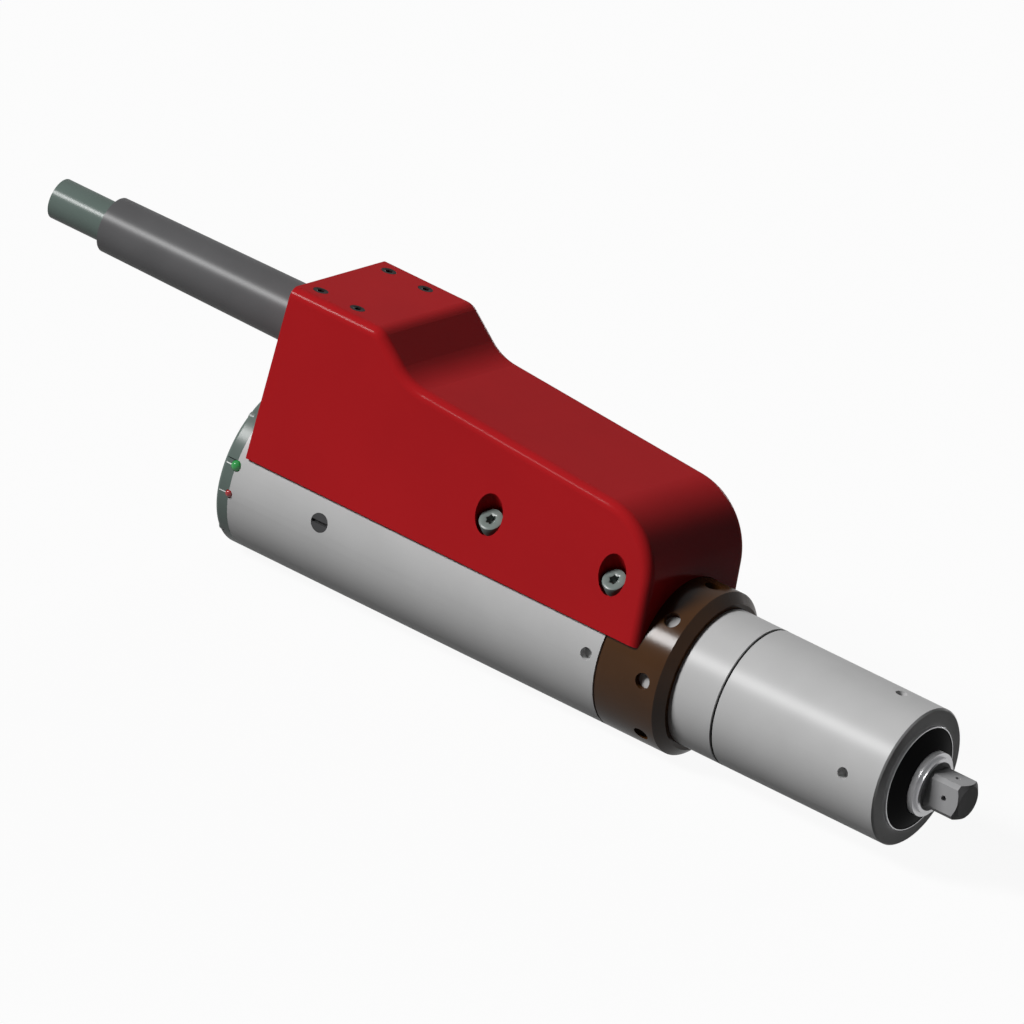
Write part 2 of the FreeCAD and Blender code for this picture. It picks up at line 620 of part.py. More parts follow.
def make_rotor():
    rear_end = f"{bracket_rear} - resolver_len - cage_gap"
    shaft = turned("rotor_bar", [
        (rear_end, "0"), (rear_end, "shaft_dia"),
        (sun_one_rear, "shaft_dia"), (sun_one_rear, "pinion_seat"),
        (sun_one_front, "pinion_seat"), (sun_one_front, "0"),
    ])
    finished(shaft, "rotor_shaft")
    magnet_dia = "(stator_bore - 2 * air_gap)"
    core_dia = f"({magnet_dia} - 2 * magnet_wall)"
    finished(tube("rotor_drum", stator_rear, stator_front, core_dia, "shaft_dia"), "rotor_core")
    segments = []
    for index in range(int(size("magnet_count"))):
        wedge = doc.addObject("Part::Cylinder", f"magnet_wedge_{index}")
        turn = FreeCAD.Rotation(vec(1, 0, 0), 360 * index / size("magnet_count"))
        wedge.Placement = FreeCAD.Placement(vec(0, 0, 0), turn.multiply(FreeCAD.Rotation(vec(0, 1, 0), 90)))
        bind(wedge, "Radius", f"{magnet_dia} / 2")
        bind(wedge, "Height", "stator_len")
        bind(wedge, "Angle", "360 / magnet_count - magnet_gap_angle")
        bind(wedge, "Placement.Base.x", stator_rear)
        middle = cylinder(f"magnet_bore_{index}", before(stator_rear), beyond(stator_front),
                          core_dia)
        segments.append(cut(f"magnet_{index}", wedge, [middle]))
    finished(grouped("magnet_ring", segments), "rotor_magnets")
    finished(tube("resolver_drum", f"({bracket_rear} - resolver_len)", f"({bracket_rear} - side_play)",
                  "resolver_bore - 2 * air_gap", "shaft_dia"), "resolver_rotor")


# Planetary gears
def involute(angle):
    return math.tan(angle) - angle


def gear_outline(teeth, thickness, inner, outer):
    """A closed wire of involute teeth between two radii, with the first tooth on the X axis."""
    pitch = value(gear_module) * teeth / 2
    pressure = math.radians(size("pressure_angle"))
    base = pitch * math.cos(pressure)
    start = max(inner, base)

    def half_angle(radius):
        return thickness / (2 * pitch) + involute(pressure) - involute(math.acos(min(1, base / radius)))

    def point(radius, angle):
        return vec(radius * math.cos(angle), radius * math.sin(angle), 0)

    corners = []
    edges = []
    for tooth in range(teeth):
        middle = 2 * math.pi * tooth / teeth
        for side in (-1, 1):
            flank = [point(radius, middle + side * half_angle(radius))
                     for radius in (start, (start + outer) / 2, outer)]
            foot = point(inner, middle + side * half_angle(start))
            corners.append((side, foot, flank))
    for number, (side, foot, flank) in enumerate(corners):
        following = corners[(number + 1) % len(corners)]
        if start > inner:
            edges.append(Part.LineSegment(foot, flank[0]).toShape())
        edges.append(Part.Arc(flank[0], flank[1], flank[2]).toShape())
        if side < 0:
            edges.append(Part.LineSegment(flank[2], following[2][2]).toShape())
        else:
            edges.append(Part.LineSegment(foot, following[1]).toShape())
    return Part.Wire(Part.__sortEdges__(edges))


def tooth_thickness(sign):
    return math.pi * value(gear_module) / 2 + sign * size("tooth_play")


def gear_solid(teeth, length, bore):
    pitch = value(gear_module) * teeth / 2
    inner = pitch - size("tooth_root") * value(gear_module)
    outer = pitch + size("tooth_rise") * value(gear_module)
    wires = [gear_outline(teeth, tooth_thickness(-1), inner, outer)]
    if bore > 0:
        wires.append(Part.Wire(Part.makeCircle(bore / 2)))
    return Part.Face(wires, "Part::FaceMakerBullseye").extrude(vec(0, 0, length))


def make_ring_gear():
    teeth = round(value(ring_teeth))
    pitch = value(gear_module) * teeth / 2
    inner = pitch - size("tooth_rise") * value(gear_module)
    outer = pitch + size("tooth_root") * value(gear_module)
    rear, front = value(cage_one_rear), value(ring_front)
    opening = gear_outline(teeth, tooth_thickness(1), inner, outer)
    rim = Part.Wire(Part.makeCircle(value(case_bore) / 2))
    ring = Part.Face([rim, opening], "Part::FaceMakerBullseye").extrude(vec(0, 0, front - rear))
    finished(shaped("ring_with_teeth", ring, rear), "ring_gear")


ring_front = f"({cage_two_front} - cage_plate)"
pocket_dia = f"({planet_tip} + cage_gap)"
passage_dia = f"({sun_tip} + cage_gap)"


def planet_spot(index):
    angle = f"({index} * 360 / planet_count)"
    return f"{orbit} * sin({angle})", f"-{orbit} * cos({angle})"


def half_tooth():
    """The sun gears are turned by half a tooth, so that a gap faces each planet."""
    return 180.0 / size("sun_teeth")


def make_sun_one():
    length = value(sun_one_front) - value(sun_one_rear)
    gear = gear_solid(int(size("sun_teeth")), length, size("pinion_seat"))
    finished(shaped("sun_one", gear, value(sun_one_rear), half_tooth()), "sun_gear_1")


def cage_cuts(stage, rear, front):
    window_rear = f"({rear} + cage_plate)"
    window_front = f"({front} - cage_plate)"
    cuts = [cylinder(f"passage_{stage}", before(rear), window_front, passage_dia)]
    for index in range(int(size("planet_count"))):
        side, up = planet_spot(index)
        cuts.append(cylinder(f"window_{stage}_{index}", window_rear, window_front, pocket_dia, side, up))
        cuts.append(cylinder(f"pin_seat_{stage}_{index}", before(rear), beyond(front), "pin_dia",
                             side, up))
    return cuts


def make_planets(stage, rear, front):
    length = size("planet_width")
    bore = size("pin_dia") + 2 * size("run_gap")
    pins = []
    for index in range(int(size("planet_count"))):
        side, up = planet_spot(index)
        gear = gear_solid(int(size("planet_teeth")), length, bore)
        planet = shaped(f"planet_{stage}_{index}", gear, value(f"{rear} + cage_plate + side_play"))
        planet.Placement.Base.y = value(side)
        planet.Placement.Base.z = value(up)
        finished(planet, f"planet_{stage}_{'abcdefgh'[index]}")
        pins.append(cylinder(f"pin_{stage}_{index}", rear, front, "pin_dia", side, up))
    finished(grouped(f"pins_{stage}", pins), f"planet_pins_{stage}")


def make_first_carrier():
    disc = cylinder("cage_disc_1", cage_one_rear, cage_one_front, cage_dia)
    cage = cut("cage_1", disc, cage_cuts(1, cage_one_rear, cage_one_front))
    start = value(f"{cage_one_front} - cage_plate")
    end = value(f"{ring_front} - side_play")
    gear = gear_solid(int(size("sun_teeth")), end - start, 0)
    sun = shaped("sun_two", gear, start, half_tooth())
    finished(fused("carrier_1_solid", [cage, sun]), "carrier_1")


# Output shaft, its clamping ring and the nose of the gear case
square_rear = f"({case_front} + square_start)"
square_front = f"({square_rear} + square_len)"
collar_front = f"({case_front} + collar_rise)"
lock_front = f"({collar_front} + lock_len)"
groove_dia = "(collar_bore - 2 * lock_groove)"


def make_output_shaft():
    disc = cylinder("cage_disc_2", cage_two_rear, cage_two_front, cage_dia)
    cage = cut("cage_2", disc, cage_cuts(2, cage_two_rear, cage_two_front))
    journal = turned("output_journal", [
        (cage_two_front, "0"), (cage_two_front, "bearing_bore + 2 * race_wall"),
        (bearing_rear, "bearing_bore + 2 * race_wall"), (bearing_rear, "bearing_bore"),
        (bearing_front, "bearing_bore"), (bearing_front, "collar_bore"),
        (collar_front, "collar_bore"), (collar_front, groove_dia), (lock_front, groove_dia),
        (lock_front, "collar_bore"), (square_rear, "collar_bore"), (square_rear, "0"),
    ])
    sides = ("-square_size / 2", "square_size / 2")
    bar = block("square_bar", f"({square_rear} - side_play)", square_front, *sides, *sides)
    envelope = turned("square_turned", [
        (before(square_rear), "0"), (before(square_rear), "square_corner_dia"),
        (f"{square_front} - square_tip", "square_corner_dia"), (square_front, "square_tip_dia"),
        (square_front, "0"),
    ])
    square = doc.addObject("Part::Common", "square_solid")
    square.Base = bar
    square.Tool = envelope
    place = f"({square_front} - retainer_back)"
    across = spoke("retainer_across", place, "0", "-square_size", "square_size", "retainer_dia")
    upwards = spoke("retainer_up", place, "90", "-square_size", "square_size", "retainer_dia")
    whole = fused("output_solid", [cage, journal, square])
    finished(cut("output_drilled", whole, [across, upwards]), "output_shaft")
    finished(tube("collar_ring", bearing_front, collar_front, "collar_dia", "collar_bore"), "shaft_collar")
    finished(tube("lock_ring_body", collar_front, lock_front, "lock_dia", groove_dia), "lock_ring")
    race_dia = "bearing_bore + 2 * race_wall"
    finished(tube("inner_spacer", spacer_rear, bearing_middle, race_dia, "bearing_bore"), "race_spacer")


def make_gear_case():
    clear_dia = f"({cage_dia} + cage_gap)"
    case = turned("case_barrel", [
        (case_rear, case_bore), (case_rear, "case_dia - 2 * edge_bevel"),
        (f"{case_rear} + edge_bevel", "case_dia"),
        (f"{case_front} - edge_bevel", "case_dia"), (case_front, "case_dia - 2 * edge_bevel"),
        (case_front, "nose_dia"), (bearing_front, "nose_dia"), (bearing_front, "bearing_dia"),
        (bearing_rear, "bearing_dia"), (bearing_rear, clear_dia), (ring_front, clear_dia),
        (ring_front, case_bore),
    ])
    tools = []
    place = f"({case_front} - side_hole_back)"
    for index in range(int(size("side_hole_count"))):
        angle = f"({index} * 360 / side_hole_count)"
        tools.append(spoke(f"side_hole_{index}", place, angle, "case_dia / 2 - side_hole_depth",
                           beyond("case_dia / 2"), "side_hole_dia"))
    finished(cut("case_solid", case, tools), "gear_case")


def make_nose():
    top = f"({case_front} + nose_rise)"
    seal_front = f"({top} - nose_wall)"
    seal_dia = "(collar_dia + 2 * seal_wall)"
    opening = "(collar_dia + 2 * side_play)"
    cone_top = f"({case_front} + nose_cone_rise)"
    ring = turned("nose_body", [
        (bearing_front, seal_dia), (bearing_front, "nose_dia"), (top, "nose_dia"),
        (top, "nose_dia - 2 * nose_rim"), (cone_top, opening),
        (seal_front, opening), (seal_front, seal_dia),
    ])
    finished(ring, "nose_ring")
    finished(tube("seal_body", f"({bearing_front} + side_play)", seal_front, seal_dia,
                  "collar_dia + 2 * run_gap"), "shaft_seal")


def make_transducer():
    shell = turned("transducer_shell", [
        (spigot_front, case_bore), (spigot_front, thread_dia), (flange_front, thread_dia),
        (flange_front, "case_dia"), (f"{case_rear} - edge_bevel", "case_dia"),
        (case_rear, "case_dia - 2 * edge_bevel"), (case_rear, case_bore),
    ])
    finished(shell, "transducer_housing")
    gauge_bore = "(gauge_dia - 2 * gauge_wall)"
    gauge = turned("gauge_tube", [
        (spigot_front, gauge_bore), (spigot_front, case_bore),
        (f"{spigot_front} + gauge_flange", case_bore),
        (f"{spigot_front} + gauge_flange", "gauge_dia"), (f"{case_rear} - joint_overlap", "gauge_dia"),
        (f"{case_rear} - joint_overlap", case_bore), (cage_one_rear, case_bore),
        (cage_one_rear, gauge_bore),
    ])
    finished(gauge, "torque_transducer")


def make_coupling_nut():
    ring = turned("nut_ring", [
        (f"{nut_rear} + nut_gap", thread_dia), (f"{nut_rear} + nut_gap", housing_dia),
        (f"{nut_front} - nut_bevel", housing_dia), (nut_front, f"{housing_dia} - 2 * nut_bevel"),
        (nut_front, "case_dia + 2 * screw_gap"), (flange_front, "case_dia + 2 * screw_gap"),
        (flange_front, thread_dia),
    ])
    place = f"({nut_front} - nut_hole_back)"
    holes = []
    for index in range(int(size("nut_hole_count"))):
        angle = f"({index} * 360 / nut_hole_count)"
        holes.append(spoke(f"nut_hole_{index}", place, angle, before(f"{thread_dia} / 2"),
                           beyond(housing_radius), "nut_hole_dia"))
    finished(cut("nut_solid", ring, holes), "coupling_nut")


# Red cover with its screws
def cover_corners():
    """Corners of the cover's side outline, from the lower rear corner round to the lower front one."""
    slope, ridge, rake = "tan(cover_slope)", "tan(ridge_angle)", "tan(front_rake)"
    flat_end = f"({cover_rear} + cover_flat_len)"
    foot = f"({flat_end} + (cover_top_height - ridge_height) / {slope})"
    brow = (f"((ridge_height - ({cover_front} - {foot} + cover_edge_height * {rake}) * {ridge})"
            f" / (1 - {rake} * {ridge}))")
    brow_place = f"({cover_front} - ({brow} - cover_edge_height) * {rake})"
    return [
        (cover_rear, "cover_edge_height"), (cover_rear, "cover_top_height"), (flat_end, "cover_top_height"),
        (foot, "ridge_height"), (brow_place, brow), (cover_front, "cover_edge_height"),
    ]


def make_cover_block():
    body = doc.addObject("PartDesign::Body", "cover_block")
    corners = cover_corners()
    sketch = sketch_outline(body, "cover_side", corners)
    pad = body.newObject("PartDesign::Pad", "cover_pad")
    pad.Profile = sketch
    pad.Midplane = True
    bind(pad, "Length", housing_dia)
    doc.recompute()
    for name, corner, radius in [("top_bend", 2, "top_round"), ("foot_bend", 3, "foot_round"),
                                 ("front_bend", 4, "front_round")]:
        place, height = value(corners[corner][0]), value(corners[corner][1])
        rounded(body, name, radius, edges_where(body.Shape, lambda edge: (
            edge.BoundBox.YLength > near and edge.BoundBox.XLength < near
            and abs(edge.BoundBox.XMin - place) < near and abs(edge.BoundBox.ZMin - height) < near)))
    half = value(housing_radius)
    low, rear = size("cover_edge_height"), value(cover_rear)
    rounded(body, "side_bends", "side_round", edges_where(body.Shape, lambda edge: (
        edge.BoundBox.YLength < near and abs(abs(edge.BoundBox.YMin) - half) < near
        and edge.BoundBox.ZMax > low + near and edge.BoundBox.XMax > rear + near)))
    return body


def make_cover():
    outside = make_cover_block()
    low = size("cover_edge_height")
    bottom = [f"Face{number}" for number, face in enumerate(outside.Shape.Faces, start=1)
              if face.BoundBox.ZMax < low + near]
    hollow = doc.addObject("Part::Thickness", "cover_shell")
    hollow.Faces = (outside, bottom)
    bind(hollow, "Value", "-cover_wall")
    hollow.Join = 2
    doc.recompute()
    bosses = []
    cuts = [cylinder("barrel_seat", before(cover_rear), beyond(cover_front),
                     f"{housing_dia} + 2 * seat_gap")]
    screws = []
    for tag, place, angle in side_screw_spots():
        bosses.append(spoke("boss_" + tag, place, angle, bore_radius, housing_dia, "boss_dia"))
        cuts.append(spoke("head_pocket_" + tag, place, angle, head_seat, housing_dia, "head_pocket_dia"))
        cuts.append(spoke("boss_hole_" + tag, place, angle, bore_radius, beyond(head_seat),
                          "screw_dia + 2 * screw_gap"))
        shank = spoke("shank_" + tag, place, angle, bore_radius, beyond(head_seat), "screw_dia")
        head = spoke("head_" + tag, place, angle, head_seat, head_reach, "head_dia")
        socket = doc.addObject("Part::Prism", "hexagon_" + tag)
        socket.Polygon = 6
        bind(socket, "Circumradius", "screw_hex / 2 / cos(30)")
        bind(socket, "Height", beyond("screw_hex_depth"))
        point_radially(socket, place, angle, f"{head_reach} - screw_hex_depth")
        screws.append(cut("side_screw_" + tag, fused("side_screw_blank_" + tag, [head, shank]), [socket]))
    kept = doc.addObject("Part::Common", "bosses_inside")
    kept.Base = outside
    kept.Tool = fused("all_bosses", bosses)
    cuts.append(cylinder("sleeve_port", before(cover_rear), beyond(inside_face),
                         f"{thread_of_sleeve} + 2 * screw_gap", "0", connector_height))
    top_screws = []
    top = "cover_top_height"
    under = before("cover_top_height - cover_wall")
    neck = f"({top} - (top_screw_head - top_screw_dia) / 2)"
    for tag, place, side in top_screw_spots():
        hole_dia = "top_screw_dia + 2 * screw_gap"
        cuts.append(upright("top_hole_" + tag, place, side, under, beyond(top), hole_dia))
        sink = doc.addObject("Part::Cone", "countersink_" + tag)
        head = doc.addObject("Part::Cone", "top_head_" + tag)
        for cone in (sink, head):
            bind(cone, "Radius1", "top_screw_dia / 2")
            bind(cone, "Radius2", "top_screw_head / 2")
            bind(cone, "Height", f"{top} - {neck}")
            bind(cone, "Placement.Base.x", place)
            bind(cone, "Placement.Base.y", side)
            bind(cone, "Placement.Base.z", neck)
        cuts.append(sink)
        shank = upright("top_shank_" + tag, place, side, f"({top} - top_screw_len)", neck, "top_screw_dia")
        top_screws.append(fused("top_screw_" + tag, [shank, head]))
    finished(cut("cover_solid", fused("cover_with_bosses", [hollow, kept]), cuts), "cover")
    finished(grouped("side_screws", screws), "cover_screws")
    finished(grouped("small_screws", top_screws), "top_screws")


# Connector, its bracket and the electronics under the cover
thread_of_sleeve = "(sleeve_dia - 2 * sleeve_step)"
connector_height = "(cover_top_height - connector_drop)"
inside_face = f"({cover_rear} + cover_wall)"
ring_end = f"({inside_face} + bracket_ring_len)"
sleeve_front = f"({ring_end} + lock_nut_len)"
sleeve_tip = f"({cover_rear} - sleeve_len)"
shell_rear = f"({sleeve_tip} - plug_shell_len)"


def top_screw_spots():
    spots = []
    for row in range(2):
        place = f"({cover_rear} + top_screw_inset + {row} * top_screw_pitch)"
        for column, side in enumerate(["-top_screw_side", "top_screw_side"]):
            spots.append((f"{row}{column}", place, side))
    return spots


def make_bracket():
    plate_top = "(cover_top_height - cover_wall)"
    plate = block("bracket_top", inside_face, f"({inside_face} + bracket_len)", "-bracket_width / 2",
                  "bracket_width / 2", f"({plate_top} - bracket_plate)", plate_top)
    ring_dia = f"({thread_of_sleeve} + 2 * bracket_ring)"
    ring = cylinder("bracket_eye", inside_face, ring_end, ring_dia, "0", connector_height)
    web = block("bracket_web", inside_face, ring_end, f"-{ring_dia} / 2", f"{ring_dia} / 2",
                connector_height, f"({plate_top} - bracket_plate / 2)")
    nut_room = "lock_nut_dia / cos(30) + cage_gap"
    tools = [
        cylinder("bracket_bore", before(inside_face), beyond(ring_end), thread_of_sleeve, "0",
                 connector_height),
        cylinder("lock_nut_room", ring_end, beyond(f"{inside_face} + bracket_len"), nut_room, "0",
                 connector_height),
    ]
    for tag, place, side in top_screw_spots():
        tools.append(upright("bracket_thread_" + tag, place, side, before(f"{plate_top} - bracket_plate"),
                             beyond(plate_top), "top_screw_dia + 2 * screw_gap"))
    finished(cut("bracket_solid", fused("bracket_blank", [plate, ring, web]), tools), "connector_bracket")


def make_connector():
    up = connector_height
    taper = doc.addObject("Part::Cone", "sleeve_taper")
    taper.Placement = FreeCAD.Placement(vec(0, 0, 0), FreeCAD.Rotation(vec(0, 1, 0), 90))
    bind(taper, "Radius1", "sleeve_tip_dia / 2")
    bind(taper, "Radius2", "sleeve_dia / 2")
    bind(taper, "Height", "sleeve_len")
    bind(taper, "Placement.Base.x", sleeve_tip)
    bind(taper, "Placement.Base.z", up)
    neck = cylinder("sleeve_neck", cover_rear, sleeve_front, thread_of_sleeve, "0", up)
    passage = cylinder("sleeve_passage", before(sleeve_tip), beyond(sleeve_front), "sleeve_bore",
                       "0", up)
    seat_dia = "(plug_shell_dia - 2 * plug_shell_step)"
    shell_front = f"({sleeve_tip} + plug_shell_seat)"
    seat = cylinder("shell_seat", before(sleeve_tip), shell_front, seat_dia, "0", up)
    finished(cut("sleeve_solid", fused("sleeve_blank", [taper, neck]), [passage, seat]), "connector_sleeve")
    relief = f"({sleeve_tip} - plug_shell_relief)"
    barrel = cylinder("shell_barrel", shell_rear, relief, "plug_shell_dia", "0", up)
    root = cylinder("shell_root", relief, shell_front, seat_dia, "0", up)
    inside = cylinder("shell_inside", before(shell_rear), beyond(shell_front), "plug_shell_bore",
                      "0", up)
    finished(cut("shell_solid", fused("shell_blank", [barrel, root]), [inside]), "connector_shell")
    insert_rear = f"({shell_rear} + socket_depth)"
    plug = cylinder("insert_body", insert_rear, f"({insert_rear} + insert_len)", "plug_shell_bore", "0", up)
    holes = []
    contacts = []
    for index in range(int(size("contact_count"))):
        angle = f"({index} * 360 / contact_count)"
        side = f"contact_circle / 2 * cos({angle})"
        height = f"{up} + contact_circle / 2 * sin({angle})"
        front = beyond(f"{insert_rear} + insert_len")
        holes.append(cylinder(f"contact_hole_{index}", before(insert_rear), front, "contact_dia", side,
                              height))
        tip = f"({insert_rear} - contact_rise)"
        contacts.append(cylinder(f"contact_{index}", tip, front, "contact_dia", side, height))
    finished(cut("insert_solid", plug, holes), "contact_insert")
    finished(grouped("contacts", contacts), "contact_pins")
    nut = doc.addObject("Part::Prism", "lock_nut_hexagon")
    nut.Polygon = 6
    turned_flat = FreeCAD.Rotation(vec(0, 1, 0), 90).multiply(FreeCAD.Rotation(vec(0, 0, 1), 30))
    nut.Placement = FreeCAD.Placement(vec(0, 0, 0), turned_flat)
    bind(nut, "Circumradius", "lock_nut_dia / 2 / cos(30)")
    bind(nut, "Height", "lock_nut_len")
    bind(nut, "Placement.Base.x", ring_end)
    bind(nut, "Placement.Base.z", up)
    bore = cylinder("lock_nut_bore", before(ring_end), beyond(sleeve_front), thread_of_sleeve,
                    "0", up)
    finished(cut("lock_nut_solid", nut, [bore]), "sleeve_lock_nut")


def make_board():
    rear = f"({cover_rear} + board_at)"
    front = f"({rear} + board_len)"
    under = f"({housing_radius} + spacer_len)"
    top = f"({under} + board_thick)"
    sheet_solid = block("board_sheet", rear, front, "-board_width / 2", "board_width / 2", under, top)
    finished(sheet_solid, "control_board")
    posts = []
    for row, place in enumerate([f"({rear} + spacer_inset)", f"({front} - spacer_inset)"]):
        for column, sign in enumerate("-+"):
            side = f"{sign}(board_width / 2 - spacer_inset)"
            post = upright(f"post_{row}{column}", place, side, "0", under, "spacer_dia")
            barrel = cylinder(f"post_cut_{row}{column}", f"({place} - spacer_dia)",
                              f"({place} + spacer_dia)", housing_dia)
            posts.append(cut(f"board_post_{row}{column}", post, [barrel]))
    finished(grouped("board_posts", posts), "board_spacers")
    chips = [
        block("processor", f"({rear} + processor_at)", f"({rear} + processor_at + processor_side)",
              "-processor_side / 2", "processor_side / 2", top, f"({top} + processor_height)"),
        block("board_plug", f"({rear} + board_plug_at)", f"({rear} + board_plug_at + board_plug_len)",
              "-board_plug_width / 2", "board_plug_width / 2", top, f"({top} + board_plug_height)"),
        upright("capacitor", f"({rear} + capacitor_at)", "0", top, f"({top} + capacitor_height)",
                "capacitor_dia"),
    ]
    finished(grouped("board_chips", chips), "board_components")


def make_wiring():
    grommet = spoke("grommet_body", port_place, "90", bore_radius, f"({housing_radius} + grommet_wall / 2)",
                    "wire_port_dia")
    eye = spoke("grommet_eye", port_place, "90", before(bore_radius), f"({housing_radius} + grommet_wall)",
                "wire_dia")
    finished(cut("grommet_solid", grommet, [eye]), "wire_grommet")
    bend_place = f"({port_place} - wire_bend)"
    bend_height = f"({connector_height} - wire_bend)"
    level = cylinder("loom_level", ring_end, bend_place, "wire_dia", "0", connector_height)
    drop = upright("loom_drop", port_place, "0", bore_radius, bend_height, "wire_dia")
    elbow = doc.addObject("Part::Torus", "loom_elbow")
    elbow.Placement = FreeCAD.Placement(vec(0, 0, 0), FreeCAD.Rotation(vec(1, 0, 0), 90))
    bind(elbow, "Radius1", "wire_bend")
    bind(elbow, "Radius2", "wire_dia / 2")
    elbow.Angle3 = 90
    bind(elbow, "Placement.Base.x", bend_place)
    bind(elbow, "Placement.Base.z", bend_height)
    finished(fused("loom_solid", [level, elbow, drop]), "wire_loom")


make_motor_housing()
make_rear_cap()
make_lamps()
make_service_plug()
make_stator()
make_rear_bracket()
make_bearings()
make_coupling_nut()
make_transducer()
make_gear_case()
make_ring_gear()
make_nose()
make_rotor()
make_sun_one()
make_first_carrier()
make_planets(1, cage_one_rear, cage_one_front)
make_output_shaft()
make_planets(2, cage_two_rear, cage_two_front)
make_cover()
make_bracket()
make_connector()
make_board()
make_wiring()
doc.recompute()

for thing in doc.Objects:
    if "Invalid" in thing.State or "Error" in thing.State:
        raise RuntimeError(f"{thing.Label} did not recompute: {thing.State}")
for thing in exported:
    if thing.Shape.isNull() or not thing.Shape.isValid():
        raise RuntimeError(f"{thing.Label} has no valid shape")

os.makedirs("parts", exist_ok=True)
for thing in exported:
    thing.Shape.exportStep(f"parts/{thing.Label}.step")
    print(thing.Label, len(thing.Shape.Solids), "solid, volume", round(thing.Shape.Volume, 1))
print(len(exported), "pieces")
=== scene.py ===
import json
import math
import bmesh
import bpy
from mathutils import Matrix, Vector


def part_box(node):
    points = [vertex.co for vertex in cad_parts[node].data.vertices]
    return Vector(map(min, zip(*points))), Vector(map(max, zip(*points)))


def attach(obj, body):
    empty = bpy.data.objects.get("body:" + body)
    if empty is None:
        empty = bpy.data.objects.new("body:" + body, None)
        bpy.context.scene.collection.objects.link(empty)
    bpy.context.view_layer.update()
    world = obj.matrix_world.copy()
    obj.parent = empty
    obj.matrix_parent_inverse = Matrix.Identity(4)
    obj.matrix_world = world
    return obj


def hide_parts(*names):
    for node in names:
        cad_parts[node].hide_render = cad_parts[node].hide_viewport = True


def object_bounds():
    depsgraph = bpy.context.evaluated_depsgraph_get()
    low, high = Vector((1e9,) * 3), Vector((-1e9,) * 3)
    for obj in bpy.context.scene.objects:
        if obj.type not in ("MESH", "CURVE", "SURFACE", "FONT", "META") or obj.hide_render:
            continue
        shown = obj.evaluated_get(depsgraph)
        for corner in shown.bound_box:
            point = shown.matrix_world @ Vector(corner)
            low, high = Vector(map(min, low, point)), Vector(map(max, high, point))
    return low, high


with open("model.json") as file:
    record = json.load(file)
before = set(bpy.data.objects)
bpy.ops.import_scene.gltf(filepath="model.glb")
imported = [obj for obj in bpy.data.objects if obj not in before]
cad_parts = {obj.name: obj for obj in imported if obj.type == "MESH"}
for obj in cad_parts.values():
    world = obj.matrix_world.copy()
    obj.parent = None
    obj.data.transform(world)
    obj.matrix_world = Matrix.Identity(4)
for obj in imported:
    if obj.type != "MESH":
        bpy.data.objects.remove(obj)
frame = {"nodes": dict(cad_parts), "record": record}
cadLow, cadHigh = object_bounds()
nodes = frame["nodes"]
print("frame loaded:", len(nodes), "pieces")

# The photograph is a parallel view, so the camera stands far off with a long lens
cameraSetup = {
    "right": Vector((0.80016, 0.54614, 0.24792)),
    "up": Vector((-0.39113, 0.16178, 0.90600)),
    "back": Vector((0.45470, -0.82192, 0.34306)),
    "lens": 1400.0,
    "sensor": 36.0,
    "frameWidth": 0.35174,
    "aimRight": -0.11076,
    "aimUp": 0.07722,
    "middleBack": -0.058,
}

lightSetup = {
    "keyDirection": Vector((-0.52, -0.65, 0.55)),
    "keyStrength": 3.3,
    "keySoftness": math.radians(16),
    "backDirection": Vector((-0.12, 0.95, 0.18)),
    "backStrength": 0.95,
    "fillStrength": 0.022,
}

floorSetup = {
    "size": 8.0,
    "gap": 0.0004,
    "colour": (0.06, 0.06, 0.06),
    "shownColour": (0.9, 0.9, 0.9),
    "whiteness": 0.93,
}


def newMaterial(name):
    material = bpy.data.materials.new(name)
    material.use_nodes = True
    tree = material.node_tree
    tree.nodes.clear()
    output = tree.nodes.new("ShaderNodeOutputMaterial")
    shader = tree.nodes.new("ShaderNodeBsdfPrincipled")
    tree.links.new(shader.outputs["BSDF"], output.inputs["Surface"])
    return material, tree, shader


def surfaceNoise(tree, stretch, scale, detail):
    coords = tree.nodes.new("ShaderNodeTexCoord")
    mapping = tree.nodes.new("ShaderNodeMapping")
    mapping.inputs["Scale"].default_value = stretch
    noise = tree.nodes.new("ShaderNodeTexNoise")
    noise.inputs["Scale"].default_value = scale
    noise.inputs["Detail"].default_value = detail
    tree.links.new(coords.outputs["Object"], mapping.inputs["Vector"])
    tree.links.new(mapping.outputs["Vector"], noise.inputs["Vector"])
    return noise.outputs["Fac"]


# Lathe marks: fine along the axis and across the radius, and even all the way round
def turnedNoise(tree, scale, detail):
    coords = tree.nodes.new("ShaderNodeTexCoord")
    parts = tree.nodes.new("ShaderNodeSeparateXYZ")
    across = tree.nodes.new("ShaderNodeCombineXYZ")
    radius = tree.nodes.new("ShaderNodeVectorMath")
    radius.operation = "LENGTH"
    marks = tree.nodes.new("ShaderNodeCombineXYZ")
    noise = tree.nodes.new("ShaderNodeTexNoise")
    noise.inputs["Scale"].default_value = scale
    noise.inputs["Detail"].default_value = detail
    tree.links.new(coords.outputs["Object"], parts.inputs["Vector"])
    tree.links.new(parts.outputs["Y"], across.inputs["Y"])
    tree.links.new(parts.outputs["Z"], across.inputs["Z"])
    tree.links.new(across.outputs["Vector"], radius.inputs[0])
    tree.links.new(parts.outputs["X"], marks.inputs["X"])
    tree.links.new(radius.outputs["Value"], marks.inputs["Y"])
    tree.links.new(marks.outputs["Vector"], noise.inputs["Vector"])
    return noise.outputs["Fac"]


def spread(tree, source, low, high):
    ranged = tree.nodes.new("ShaderNodeMapRange")
    ranged.inputs["From Min"].default_value = 0.3
    ranged.inputs["From Max"].default_value = 0.7
    ranged.inputs["To Min"].default_value = low
    ranged.inputs["To Max"].default_value = high
    tree.links.new(source, ranged.inputs["Value"])
    return ranged.outputs["Result"]


